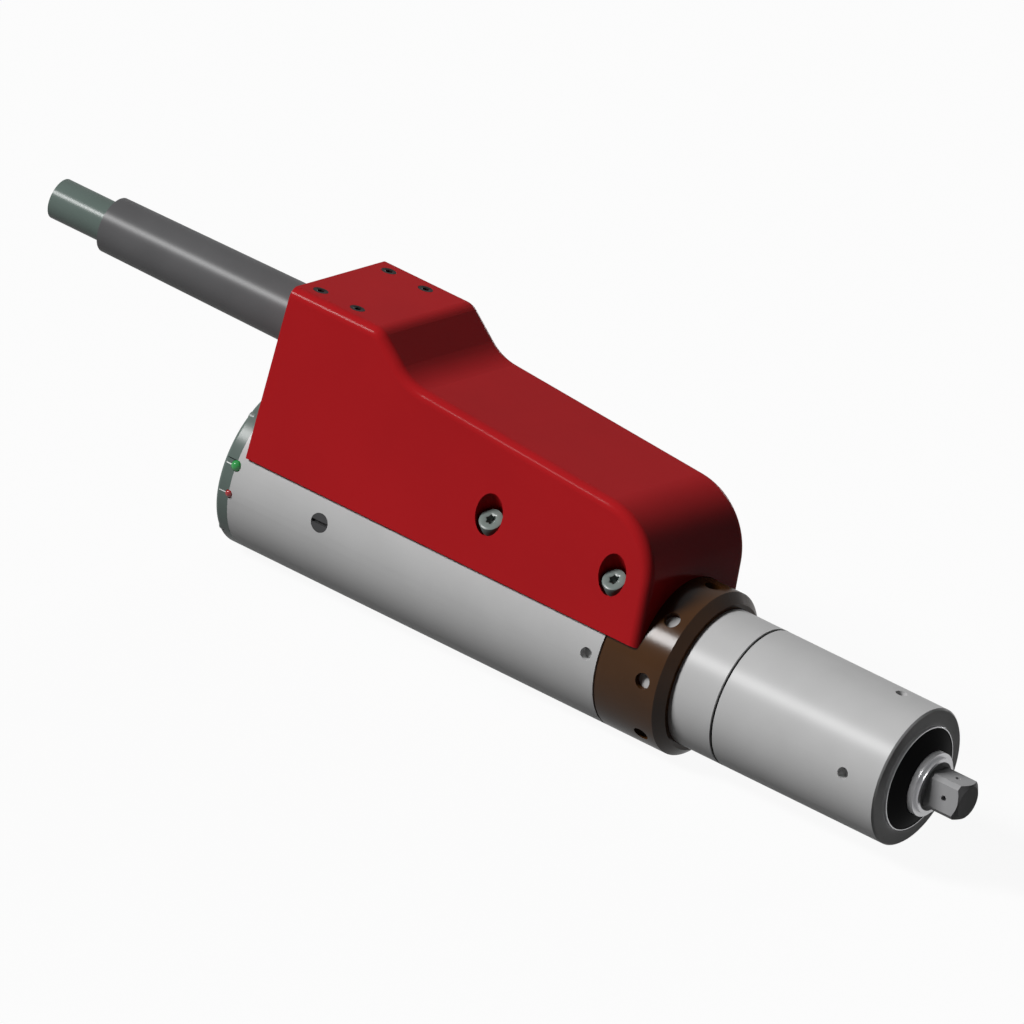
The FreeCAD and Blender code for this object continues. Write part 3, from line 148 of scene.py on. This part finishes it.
# One finish: a colour that drifts a little, grain in its roughness and a fine bump
def surfaceFinish(name, look):
    material, tree, shader = newMaterial(name)
    colour = look["colour"]
    drift = look.get("drift", 0.06)
    mix = tree.nodes.new("ShaderNodeMix")
    mix.data_type = "RGBA"
    mix.inputs["A"].default_value = (*[part * (1 - drift) for part in colour], 1)
    mix.inputs["B"].default_value = (*[min(1, part * (1 + drift)) for part in colour], 1)
    cloud = surfaceNoise(tree, (1, 1, 1), look.get("cloudScale", 60), 3)
    tree.links.new(spread(tree, cloud, 0, 1), mix.inputs["Factor"])
    tree.links.new(mix.outputs["Result"], shader.inputs["Base Color"])
    if look.get("turned"):
        grain = turnedNoise(tree, look.get("grainScale", 1500), 3)
    else:
        grain = surfaceNoise(tree, look.get("stretch", (1, 1, 1)), look.get("grainScale", 900), 4)
    rough = look["roughness"]
    grainy = look.get("roughSpread", 0.05)
    tree.links.new(spread(tree, grain, rough - grainy, rough + grainy), shader.inputs["Roughness"])
    bump = tree.nodes.new("ShaderNodeBump")
    bump.inputs["Strength"].default_value = look.get("bump", 0.15)
    bump.inputs["Distance"].default_value = look.get("bumpDepth", 0.00005)
    tree.links.new(grain, bump.inputs["Height"])
    tree.links.new(bump.outputs["Normal"], shader.inputs["Normal"])
    shader.inputs["Metallic"].default_value = look.get("metallic", 0.0)
    shader.inputs["Specular IOR Level"].default_value = look.get("specular", 0.5)
    shader.inputs["Coat Weight"].default_value = look.get("coat", 0.0)
    shader.inputs["Coat Roughness"].default_value = look.get("coatRoughness", 0.3)
    if "glow" in look:
        shader.inputs["Emission Color"].default_value = (*colour, 1)
        shader.inputs["Emission Strength"].default_value = look["glow"]
    return material


looks = {
    "barrel_aluminium": {
        "colour": (0.53, 0.53, 0.53), "roughness": 0.45, "drift": 0.025, "specular": 0.0, "coat": 0.34,
        "coatRoughness": 0.32, "turned": True, "bump": 0.1, "bumpDepth": 0.00002,
    },
    "cap_metal": {
        "colour": (0.120, 0.158, 0.142), "roughness": 0.4, "drift": 0.05, "specular": 0.0, "coat": 0.34,
        "coatRoughness": 0.24, "turned": True, "bump": 0.1, "bumpDepth": 0.00002,
    },
    "browned_steel": {
        "colour": (0.062, 0.0235, 0.0055), "roughness": 0.4, "drift": 0.10, "specular": 0.0, "coat": 0.34,
        "coatRoughness": 0.17, "turned": True, "bump": 0.1, "bumpDepth": 0.00002,
    },
    "black_steel": {
        "colour": (0.006, 0.006, 0.007), "roughness": 0.45, "drift": 0.2, "specular": 0.0, "coat": 0.07,
        "coatRoughness": 0.28, "turned": True, "bump": 0.08, "bumpDepth": 0.00002,
    },
    "bright_steel": {
        "colour": (0.50, 0.50, 0.51), "roughness": 0.34, "metallic": 0.85, "drift": 0.03, "turned": True,
        "bump": 0.08, "bumpDepth": 0.00002,
    },
    "drive_steel": {
        "colour": (0.33, 0.33, 0.335), "roughness": 0.45, "drift": 0.06, "specular": 0.0, "coat": 0.2,
        "coatRoughness": 0.3, "grainScale": 1400, "bump": 0.12,
    },
    "gear_steel": {
        "colour": (0.38, 0.38, 0.40), "roughness": 0.3, "metallic": 0.9, "drift": 0.06, "grainScale": 1200,
    },
    "bearing_steel": {
        "colour": (0.62, 0.62, 0.64), "roughness": 0.16, "metallic": 1.0, "drift": 0.03, "turned": True,
        "bump": 0.05, "bumpDepth": 0.00002,
    },
    "cover_red": {
        "colour": (0.44, 0.0115, 0.0150), "roughness": 0.45, "drift": 0.04, "cloudScale": 25,
        "specular": 0.0, "coat": 0.09, "coatRoughness": 0.17, "grainScale": 2600, "bump": 0.2,
        "bumpDepth": 0.00003,
    },
    "sleeve_grey": {
        "colour": (0.105, 0.104, 0.107), "roughness": 0.5, "drift": 0.06, "specular": 0.0, "coat": 0.34,
        "coatRoughness": 0.32, "grainScale": 2200, "bump": 0.3,
    },
    "lamp_green": {
        "colour": (0.012, 0.27, 0.050), "roughness": 0.12, "roughSpread": 0.02, "glow": 0.1, "bump": 0.02,
    },
    "lamp_red": {
        "colour": (0.33, 0.008, 0.010), "roughness": 0.12, "roughSpread": 0.02, "glow": 0.05, "bump": 0.02,
    },
    "screw_steel": {
        "colour": (0.18, 0.215, 0.20), "roughness": 0.4, "drift": 0.06, "specular": 0.0, "coat": 0.35,
        "coatRoughness": 0.22, "grainScale": 1500, "bump": 0.1,
    },
    "plug_steel": {
        "colour": (0.07, 0.07, 0.072), "roughness": 0.42, "drift": 0.1, "specular": 0.0, "coat": 0.25,
        "grainScale": 1500,
    },
    "lamination": {
        "colour": (0.20, 0.20, 0.22), "roughness": 0.45, "metallic": 0.7, "stretch": (30, 0.2, 0.2),
        "grainScale": 160, "bump": 0.6,
    },
    "copper": {
        "colour": (0.50, 0.18, 0.06), "roughness": 0.32, "metallic": 0.8, "stretch": (1, 12, 12),
        "grainScale": 220, "bump": 0.7, "bumpDepth": 0.0002, "coat": 0.5,
    },
    "magnet": {"colour": (0.16, 0.16, 0.17), "roughness": 0.3, "metallic": 0.8, "grainScale": 900},
    "bracket_aluminium": {
        "colour": (0.50, 0.50, 0.52), "roughness": 0.4, "metallic": 0.7, "grainScale": 900, "drift": 0.04,
    },
    "seal_rubber": {
        "colour": (0.008, 0.008, 0.008), "roughness": 0.62, "grainScale": 1600, "bump": 0.3,
        "specular": 0.08,
    },
    "board_green": {
        "colour": (0.012, 0.12, 0.045), "roughness": 0.3, "coat": 0.6, "grainScale": 400, "drift": 0.12,
    },
    "component_black": {"colour": (0.02, 0.02, 0.02), "roughness": 0.45, "grainScale": 1800, "bump": 0.25},
    "brass_bright": {
        "colour": (0.62, 0.44, 0.16), "roughness": 0.22, "metallic": 1.0, "grainScale": 1200, "drift": 0.05,
    },
}


def makeFinishes():
    finishes = {name: surfaceFinish(name + "Finish", look) for name, look in looks.items()}
    for part in frame["record"]["subparts"]:
        mesh = nodes[part["node"]].data
        mesh.materials.clear()
        mesh.materials.append(finishes[part["material_slot"]])
    print("finishes:", len(finishes))
    return finishes


finishes = makeFinishes()


# A bmesh turned into an object at the origin, with its faces pointing outwards
def finishedMesh(name, shape, material):
    bmesh.ops.remove_doubles(shape, verts=shape.verts, dist=1e-7)
    bmesh.ops.recalc_face_normals(shape, faces=shape.faces)
    mesh = bpy.data.meshes.new(name)
    shape.to_mesh(mesh)
    shape.free()
    mesh.materials.append(material)
    piece = bpy.data.objects.new(name, mesh)
    bpy.context.scene.collection.objects.link(piece)
    return piece


def smoothed(piece, angle=math.radians(35)):
    for face in piece.data.polygons:
        face.use_smooth = True
    piece.data.set_sharp_from_angle(angle=angle)
    return piece


# Skin over rings along Z, each a radius and a height, where the radius may be a function of the angle
def ringSurface(rings, segments):
    shape = bmesh.new()
    loops = []
    for radius, height in rings:
        loop = []
        for step in range(segments):
            angle = 2 * math.pi * step / segments
            reach = radius(angle) if callable(radius) else radius
            loop.append(shape.verts.new((reach * math.cos(angle), reach * math.sin(angle), height)))
        loops.append(loop)
    for lower, upper in zip(loops, loops[1:]):
        for step in range(segments):
            after = (step + 1) % segments
            shape.faces.new((lower[step], lower[after], upper[after], upper[step]))
    shape.faces.new(list(reversed(loops[0])))
    shape.faces.new(loops[-1])
    return shape


def sixLobes(reach, depth):
    return lambda angle: reach * (1 - depth * (0.5 - 0.5 * math.cos(6 * angle)))


# Stands a part on each point of a mesh, along the mesh's outward attribute
def instanceTree(name):
    tree = bpy.data.node_groups.new(name, "GeometryNodeTree")
    tree.interface.new_socket("Geometry", in_out="INPUT", socket_type="NodeSocketGeometry")
    tree.interface.new_socket("Part", in_out="INPUT", socket_type="NodeSocketObject")
    tree.interface.new_socket("Part size", in_out="INPUT", socket_type="NodeSocketFloat")
    tree.interface.new_socket("Finish", in_out="INPUT", socket_type="NodeSocketMaterial")
    tree.interface.new_socket("Geometry", in_out="OUTPUT", socket_type="NodeSocketGeometry")
    start = tree.nodes.new("NodeGroupInput")
    end = tree.nodes.new("NodeGroupOutput")
    part = tree.nodes.new("GeometryNodeObjectInfo")
    outward = tree.nodes.new("GeometryNodeInputNamedAttribute")
    outward.data_type = "FLOAT_VECTOR"
    outward.inputs["Name"].default_value = "outward"
    align = tree.nodes.new("FunctionNodeAlignRotationToVector")
    align.axis = "Z"
    place = tree.nodes.new("GeometryNodeInstanceOnPoints")
    realize = tree.nodes.new("GeometryNodeRealizeInstances")
    dress = tree.nodes.new("GeometryNodeSetMaterial")
    link = tree.links.new
    link(start.outputs["Part"], part.inputs["Object"])
    link(start.outputs["Geometry"], place.inputs["Points"])
    link(part.outputs["Geometry"], place.inputs["Instance"])
    link(outward.outputs["Attribute"], align.inputs["Vector"])
    link(align.outputs["Rotation"], place.inputs["Rotation"])
    link(start.outputs["Part size"], place.inputs["Scale"])
    link(place.outputs["Instances"], realize.inputs["Geometry"])
    link(realize.outputs["Geometry"], dress.inputs["Geometry"])
    link(start.outputs["Finish"], dress.inputs["Material"])
    link(dress.outputs["Geometry"], end.inputs["Geometry"])
    return tree


repeatTree = instanceTree("repeatOnPoints")


def setInput(modifier, label, value):
    for item in modifier.node_group.interface.items_tree:
        if item.item_type == "SOCKET" and item.in_out == "INPUT" and item.name == label:
            modifier[item.identifier] = value


# Copies of a part on spots of place and outward direction, as one plain mesh
def repeated(name, part, spots, material, partSize=1.0):
    cloud = bpy.data.meshes.new(name + "Spots")
    cloud.from_pydata([spot for spot, direction in spots], [], [])
    outward = cloud.attributes.new("outward", "FLOAT_VECTOR", "POINT")
    outward.data.foreach_set("vector", [axis for spot, direction in spots for axis in direction])
    carrier = bpy.data.objects.new(name + "Carrier", cloud)
    bpy.context.scene.collection.objects.link(carrier)
    modifier = carrier.modifiers.new("repeat", "NODES")
    modifier.node_group = repeatTree
    setInput(modifier, "Part", part)
    setInput(modifier, "Part size", partSize)
    setInput(modifier, "Finish", material)
    bpy.context.view_layer.update()
    evaluated = carrier.evaluated_get(bpy.context.evaluated_depsgraph_get())
    mesh = bpy.data.meshes.new_from_object(evaluated)
    carrier.modifiers.clear()
    bpy.data.objects.remove(carrier)
    bpy.data.objects.remove(part)
    mesh.materials.clear()
    mesh.materials.append(material)
    piece = bpy.data.objects.new(name, mesh)
    bpy.context.scene.collection.objects.link(piece)
    return smoothed(piece)


# Each loose solid of a CAD node as the list of its points, in the order of their middles
def nodeParts(name):
    mesh = nodes[name].data
    shape = bmesh.new()
    shape.from_mesh(mesh)
    bmesh.ops.remove_doubles(shape, verts=shape.verts, dist=1e-6)
    parts = []
    unseen = set(shape.verts)
    while unseen:
        first = unseen.pop()
        group = {first}
        edge = [first]
        while edge:
            for link in edge.pop().link_edges:
                for point in link.verts:
                    if point in unseen:
                        unseen.discard(point)
                        group.add(point)
                        edge.append(point)
        parts.append([point.co.copy() for point in group])
    shape.free()
    return sorted(parts, key=lambda points: tuple(middleOf(points)))


def middleOf(points):
    low = Vector([min(point[axis] for point in points) for axis in range(3)])
    high = Vector([max(point[axis] for point in points) for axis in range(3)])
    return (low + high) / 2


sideScrewLook = {
    "headRadius": 0.00435, "headHeight": 0.005, "headReach": 0.0403, "shankRadius": 0.0025,
    "tipReach": 0.0265, "recessRadius": 0.0019, "recessDepth": 0.0025, "lobeDepth": 0.2,
    "edge": 0.0004, "threadPitch": 0.0008, "segments": 96, "lip": 1.18, "drillRadius": 0.0003,
    "drillDepth": 0.0004,
}

screwShape = {
    "tipShare": 0.7, "tipHeight": 0.0002, "rootShare": 0.88, "lip": 1.2, "lead": 0.0002,
    "drillRadius": 0.0002, "drillDepth": 0.0003,
}


# Ridges of a screw thread between two heights
def threadRings(radius, start, end, pitch):
    rings = []
    height = start
    while height + pitch < end:
        rings.append((radius * screwShape["rootShare"], height))
        rings.append((radius, height + pitch / 2))
        height += pitch
    rings.append((radius, end))
    return rings


# A small screw's tip and thread, up to the seat of its head
def shankRings(look, tip, seat):
    start = tip + screwShape["tipHeight"]
    rings = [(look["shankRadius"] * screwShape["tipShare"], tip)]
    return rings + threadRings(look["shankRadius"], start, seat, look["threadPitch"])


# The recess in a small screw's face, from its lip down to the point of the drill
def recessRings(look):
    lobes = sixLobes(look["recessRadius"], look["lobeDepth"])
    floor = -look["recessDepth"]
    return [
        (look["recessRadius"] * screwShape["lip"], 0), (lobes, -screwShape["lead"]), (lobes, floor),
        (screwShape["drillRadius"], floor - screwShape["drillDepth"]),
    ]


def makeSideScrews():
    look = sideScrewLook
    head, edge = look["headRadius"], look["edge"]
    seat = look["headReach"] - look["headHeight"]
    top = look["headReach"]
    floor = top - look["recessDepth"]
    lobes = sixLobes(look["recessRadius"], look["lobeDepth"])
    rings = [(look["shankRadius"] * screwShape["tipShare"], look["tipReach"])]
    rings += threadRings(look["shankRadius"], look["tipReach"] + edge, seat, look["threadPitch"])
    rings += [
        (head - edge / 2, seat), (head, seat + edge / 2), (head, top - edge),
        (head - edge * 0.3, top - edge * 0.3), (head - edge, top),
        (look["recessRadius"] * look["lip"], top), (lobes, top - edge * 0.5), (lobes, floor),
        (look["drillRadius"], floor - look["drillDepth"]),
    ]
    master = finishedMesh("sideScrewMaster", ringSurface(rings, look["segments"]), finishes["screw_steel"])
    spots = []
    for points in nodeParts("cover_screws"):
        middle = middleOf(points)
        outward = Vector((0, middle.y, middle.z)).normalized()
        spots.append((Vector((middle.x, 0, 0)), outward))
    piece = repeated("sideScrews", master, spots, finishes["screw_steel"])
    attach(piece, "housing")
    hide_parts("cover_screws")


smallScrewLook = {
    "headRadius": 0.0028, "coneHeight": 0.0013, "shankRadius": 0.0015, "length": 0.006,
    "rim": 0.00008, "break": 0.00015,
    "recessRadius": 0.0013, "recessDepth": 0.0016, "lobeDepth": 0.2, "segments": 48, "threadPitch": 0.0005,
    # The near-black colour below is painted shade: it stands in for the shade deep in the cover's screw
    # holes
    "finish": {
        "colour": (0.012, 0.008, 0.008), "roughness": 0.4, "specular": 0.0, "coat": 0.25,
        "grainScale": 1500, "drift": 0.15,
    },
}


def makeTopScrews():
    look = smallScrewLook
    rings = shankRings(look, -look["length"], -look["coneHeight"])
    rings += [(look["headRadius"] - look["rim"], -look["rim"]), (look["headRadius"] - look["break"], 0)]
    rings += recessRings(look)
    # Painted shade: the heads sit flush and near-black in place of deep, shaded screw holes
    holeShadeFinish = surfaceFinish("topScrewHoleShadeFinish", look["finish"])
    master = finishedMesh("topScrewMaster", ringSurface(rings, look["segments"]), holeShadeFinish)
    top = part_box("top_screws")[1].z
    spots = []
    for points in nodeParts("top_screws"):
        middle = middleOf(points)
        spots.append((Vector((middle.x, middle.y, top)), Vector((0, 0, 1))))
    piece = repeated("topScrews", master, spots, holeShadeFinish)
    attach(piece, "housing")
    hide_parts("top_screws")


capScrewLook = {
    "headRadius": 0.00225, "headHeight": 0.0022, "rim": 0.0003, "shankRadius": 0.00125,
    "recessRadius": 0.001, "recessDepth": 0.0011, "lobeDepth": 0.2, "segments": 48, "threadPitch": 0.00045,
}


def makeCapScrews():
    look = capScrewLook
    low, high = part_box("rear_cap_screws")
    head, rim = look["headRadius"], look["rim"]
    rings = shankRings(look, low.x - high.x, -look["headHeight"])
    rings += [(head, -look["headHeight"]), (head, -rim), (head - rim, 0)]
    rings += recessRings(look)
    master = finishedMesh("capScrewMaster", ringSurface(rings, look["segments"]), finishes["screw_steel"])
    spots = []
    for points in nodeParts("rear_cap_screws"):
        middle = middleOf(points)
        spots.append((Vector((low.x, middle.y, middle.z)), Vector((-1, 0, 0))))
    piece = repeated("capScrews", master, spots, finishes["screw_steel"])
    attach(piece, "housing")
    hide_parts("rear_cap_screws")


ballSetup = {
    "races": ["rotor_rear_bearing", "rotor_front_bearing", "output_rear_bearing", "output_front_bearing"],
    "raceWall": 0.0024, "fill": 0.97, "spacing": 1.35, "subdivisions": 2,
}


def makeBearingBalls():
    look = ballSetup
    shape = bmesh.new()
    bmesh.ops.create_icosphere(shape, subdivisions=look["subdivisions"], radius=1.0)
    for race in look["races"]:
        outerLow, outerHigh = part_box(race + "_outer_race")
        innerLow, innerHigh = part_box(race + "_inner_race")
        outside = outerHigh.y - look["raceWall"]
        inside = innerHigh.y
        radius = (outside - inside) / 2 * look["fill"]
        circle = (outside + inside) / 2
        count = int(2 * math.pi * circle / (2 * radius * look["spacing"]))
        middle = (outerLow.x + outerHigh.x) / 2
        spots = []
        for index in range(count):
            angle = 2 * math.pi * index / count
            place = Vector((middle, circle * math.cos(angle), circle * math.sin(angle)))
            spots.append((place, Vector((0, 0, 1))))
        master = finishedMesh(race + "BallMaster", shape.copy(), finishes["bearing_steel"])
        piece = repeated(race + "Balls", master, spots, finishes["bearing_steel"], radius)
        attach(piece, "housing")
    shape.free()


# The turn and the second width place and size the near-black strip of painted shade beside the green guide
capLineLook = {
    "rise": 0.00004, "depth": 0.0012, "inset": 0.0012, "edge": 0.0001, "stepShadeTurn": 3.6,
    "guideWidth": 0.0006, "stepShadeWidth": 0.0005,
}


# How far round the spindle a piece sits, as an angle above the near side line
def sideAngle(name):
    low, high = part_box(name)
    middle = (low + high) / 2
    return math.atan2(middle.z, -middle.y)


# A thin strip let into the rim of the rear cap, along the spindle
def addCapLine(shape, angle, width):
    look = capLineLook
    low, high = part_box("rear_cap")
    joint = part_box("motor_housing")[0].x
    radius = (high.z - low.z) / 2 + look["rise"]
    outward = Vector((0, -math.cos(angle), math.sin(angle)))
    middle = outward * (radius - look["depth"] / 2)
    middle.x = (low.x + look["inset"] + joint) / 2
    size = Vector((joint - low.x - look["inset"], look["depth"], width))
    turn = Matrix.Rotation(-angle, 4, "X")
    placed = Matrix.Translation(middle) @ turn @ Matrix.Diagonal((*size, 1))
    made = bmesh.ops.create_cube(shape, size=1.0, matrix=placed)
    edges = {edge for point in made["verts"] for edge in point.link_edges}
    bmesh.ops.bevel(shape, geom=list(edges), offset=look["edge"], segments=2, affect="EDGES")


# The pale light guides run from the lamps back over the rear cap; beside the green one lies a near-black
# strip of painted shade, standing in for the shadow of a small step in the cap
def makeCapLines():
    pale = surfaceFinish("lightGuideFinish", {
        "colour": (0.85, 0.86, 0.84), "roughness": 0.3, "coat": 0.6, "grainScale": 900, "drift": 0.02,
    })
    guides = bmesh.new()
    for lamp in ("status_lamp_green", "status_lamp_red"):
        addCapLine(guides, sideAngle(lamp), capLineLook["guideWidth"])
    piece = finishedMesh("lightGuides", guides, pale)
    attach(piece, "housing")
    # Painted shade: a near-black strip stands in for the shadow of a small step in the cap beside the green
    # guide
    stepShade = bmesh.new()
    stepShadeAngle = sideAngle("status_lamp_green") + math.radians(capLineLook["stepShadeTurn"])
    addCapLine(stepShade, stepShadeAngle, capLineLook["stepShadeWidth"])
    piece = finishedMesh("capSeam", stepShade, finishes["black_steel"])
    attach(piece, "housing")


# A closed outline of places along the spindle and radii, turned round the spindle
def turnedRing(name, outline, material, segments=192):
    shape = bmesh.new()
    loops = []
    for place, radius in outline:
        loop = []
        for step in range(segments):
            angle = 2 * math.pi * step / segments
            loop.append(shape.verts.new((place, radius * math.cos(angle), radius * math.sin(angle))))
        loops.append(loop)
    for lower, upper in zip(loops, loops[1:] + loops[:1]):
        for step in range(segments):
            after = (step + 1) % segments
            shape.faces.new((lower[step], lower[after], upper[after], upper[step]))
    return smoothed(finishedMesh(name, shape, material), math.radians(25))


edgeLook = {"rise": 0.00004, "height": 0.0012, "wall": 0.0004, "bevel": 0.00012}
# Size of the near-black ring of painted shade in the gear case joint
jointShadeLook = {"rise": 0.00003, "depth": 0.0004, "width": 0.00045}


# The bare turned edge of the blackened nose ring
def makeNoseEdge():
    look = edgeLook
    low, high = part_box("nose_ring")
    outside = (high.z - low.z) / 2 + look["rise"]
    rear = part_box("gear_case")[1].x
    front = rear + look["height"] + look["rise"]
    bevel = look["bevel"]
    piece = turnedRing("noseEdge", [
        (rear, outside), (front - bevel, outside), (front, outside - bevel),
        (front, outside - look["wall"]), (rear, outside - look["wall"]),
    ], finishes["bright_steel"])
    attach(piece, "housing")


# A near-black ring let into the joint between the gear case and the torque transducer: a real joint,
# darkened with painted shade in its gap
def makeJointShade():
    look = jointShadeLook
    low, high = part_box("gear_case")
    outside = (high.z - low.z) / 2 + look["rise"]
    half = look["width"] / 2
    inside = outside - look["depth"]
    piece = turnedRing("jointSeal", [
        (low.x - half, inside), (low.x - half, outside - half / 2), (low.x - half / 2, outside),
        (low.x + half / 2, outside), (low.x + half, outside - half / 2), (low.x + half, inside),
    ], finishes["seal_rubber"])
    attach(piece, "housing")


makeSideScrews()
makeTopScrews()
makeCapScrews()
print("screws made")
makeBearingBalls()
makeCapLines()
makeNoseEdge()
makeJointShade()
print("balls, light guides and rings made")


# 1 where the camera, a mirror or glass looks, and 0 where only light arrives
def lookedAt(tree):
    path = tree.nodes.new("ShaderNodeLightPath")
    mirrored = tree.nodes.new("ShaderNodeMath")
    mirrored.operation = "MAXIMUM"
    looked = tree.nodes.new("ShaderNodeMath")
    looked.operation = "MAXIMUM"
    tree.links.new(path.outputs["Is Glossy Ray"], mirrored.inputs[0])
    tree.links.new(path.outputs["Is Transmission Ray"], mirrored.inputs[1])
    tree.links.new(path.outputs["Is Camera Ray"], looked.inputs[0])
    tree.links.new(mirrored.outputs["Value"], looked.inputs[1])
    return looked.outputs["Value"]


def makeFloor():
    look = floorSetup
    level = cadLow.z - look["gap"]
    half = look["size"] / 2
    mesh = bpy.data.meshes.new("floor")
    corners = [(-half, -half, level), (half, -half, level), (half, half, level), (-half, half, level)]
    mesh.from_pydata(corners, [], [(0, 1, 2, 3)])
    floor = bpy.data.objects.new("floor", mesh)
    bpy.context.scene.collection.objects.link(floor)
    material = bpy.data.materials.new("floorFinish")
    material.use_nodes = True
    tree = material.node_tree
    tree.nodes.clear()
    output = tree.nodes.new("ShaderNodeOutputMaterial")
    ground = tree.nodes.new("ShaderNodeBsdfDiffuse")
    ground.inputs["Color"].default_value = (*look["colour"], 1)
    paper = tree.nodes.new("ShaderNodeBsdfDiffuse")
    paper.inputs["Color"].default_value = (*look["shownColour"], 1)
    glow = tree.nodes.new("ShaderNodeEmission")
    pale = tree.nodes.new("ShaderNodeMixShader")
    pale.inputs["Fac"].default_value = look["whiteness"]
    mix = tree.nodes.new("ShaderNodeMixShader")
    tree.links.new(paper.outputs["BSDF"], pale.inputs[1])
    tree.links.new(glow.outputs["Emission"], pale.inputs[2])
    tree.links.new(lookedAt(tree), mix.inputs["Fac"])
    tree.links.new(ground.outputs["BSDF"], mix.inputs[1])
    tree.links.new(pale.outputs["Shader"], mix.inputs[2])
    tree.links.new(mix.outputs["Shader"], output.inputs["Surface"])
    mesh.materials.append(material)


# White where it is looked at, and weak light for the rest
def makeWorld():
    world = bpy.data.worlds.new("studio")
    bpy.context.scene.world = world
    world.use_nodes = True
    tree = world.node_tree
    tree.nodes.clear()
    output = tree.nodes.new("ShaderNodeOutputWorld")
    shown = tree.nodes.new("ShaderNodeBackground")
    fill = tree.nodes.new("ShaderNodeBackground")
    shown.inputs["Strength"].default_value = 1.0
    fill.inputs["Strength"].default_value = lightSetup["fillStrength"]
    mix = tree.nodes.new("ShaderNodeMixShader")
    tree.links.new(lookedAt(tree), mix.inputs["Fac"])
    tree.links.new(fill.outputs["Background"], mix.inputs[1])
    tree.links.new(shown.outputs["Background"], mix.inputs[2])
    tree.links.new(mix.outputs["Shader"], output.inputs["Surface"])


def addSun(name, direction, strength):
    lamp = bpy.data.lights.new(name, "SUN")
    lamp.energy = strength
    lamp.angle = lightSetup["keySoftness"]
    light = bpy.data.objects.new(name, lamp)
    bpy.context.scene.collection.objects.link(light)
    light.rotation_euler = direction.to_track_quat("Z", "Y").to_euler()


def makeCamera():
    setup = cameraSetup
    data = bpy.data.cameras.new("camera")
    data.lens = setup["lens"]
    data.sensor_width = setup["sensor"]
    distance = setup["frameWidth"] * setup["lens"] / setup["sensor"]
    data.clip_start = distance / 10
    data.clip_end = distance * 10
    camera = bpy.data.objects.new("camera", data)
    bpy.context.scene.collection.objects.link(camera)
    right, up, back = setup["right"], setup["up"], setup["back"]
    turn = Matrix((right, up, back)).transposed().to_4x4()
    place = right * setup["aimRight"] + up * setup["aimUp"] + back * (distance + setup["middleBack"])
    camera.matrix_world = Matrix.Translation(place) @ turn
    bpy.context.scene.camera = camera


makeFloor()
makeWorld()
addSun("keyLight", lightSetup["keyDirection"], lightSetup["keyStrength"])
addSun("backLight", lightSetup["backDirection"], lightSetup["backStrength"])
makeCamera()
bpy.context.scene.view_settings.view_transform = "Standard"
print("stage, lights and camera made")
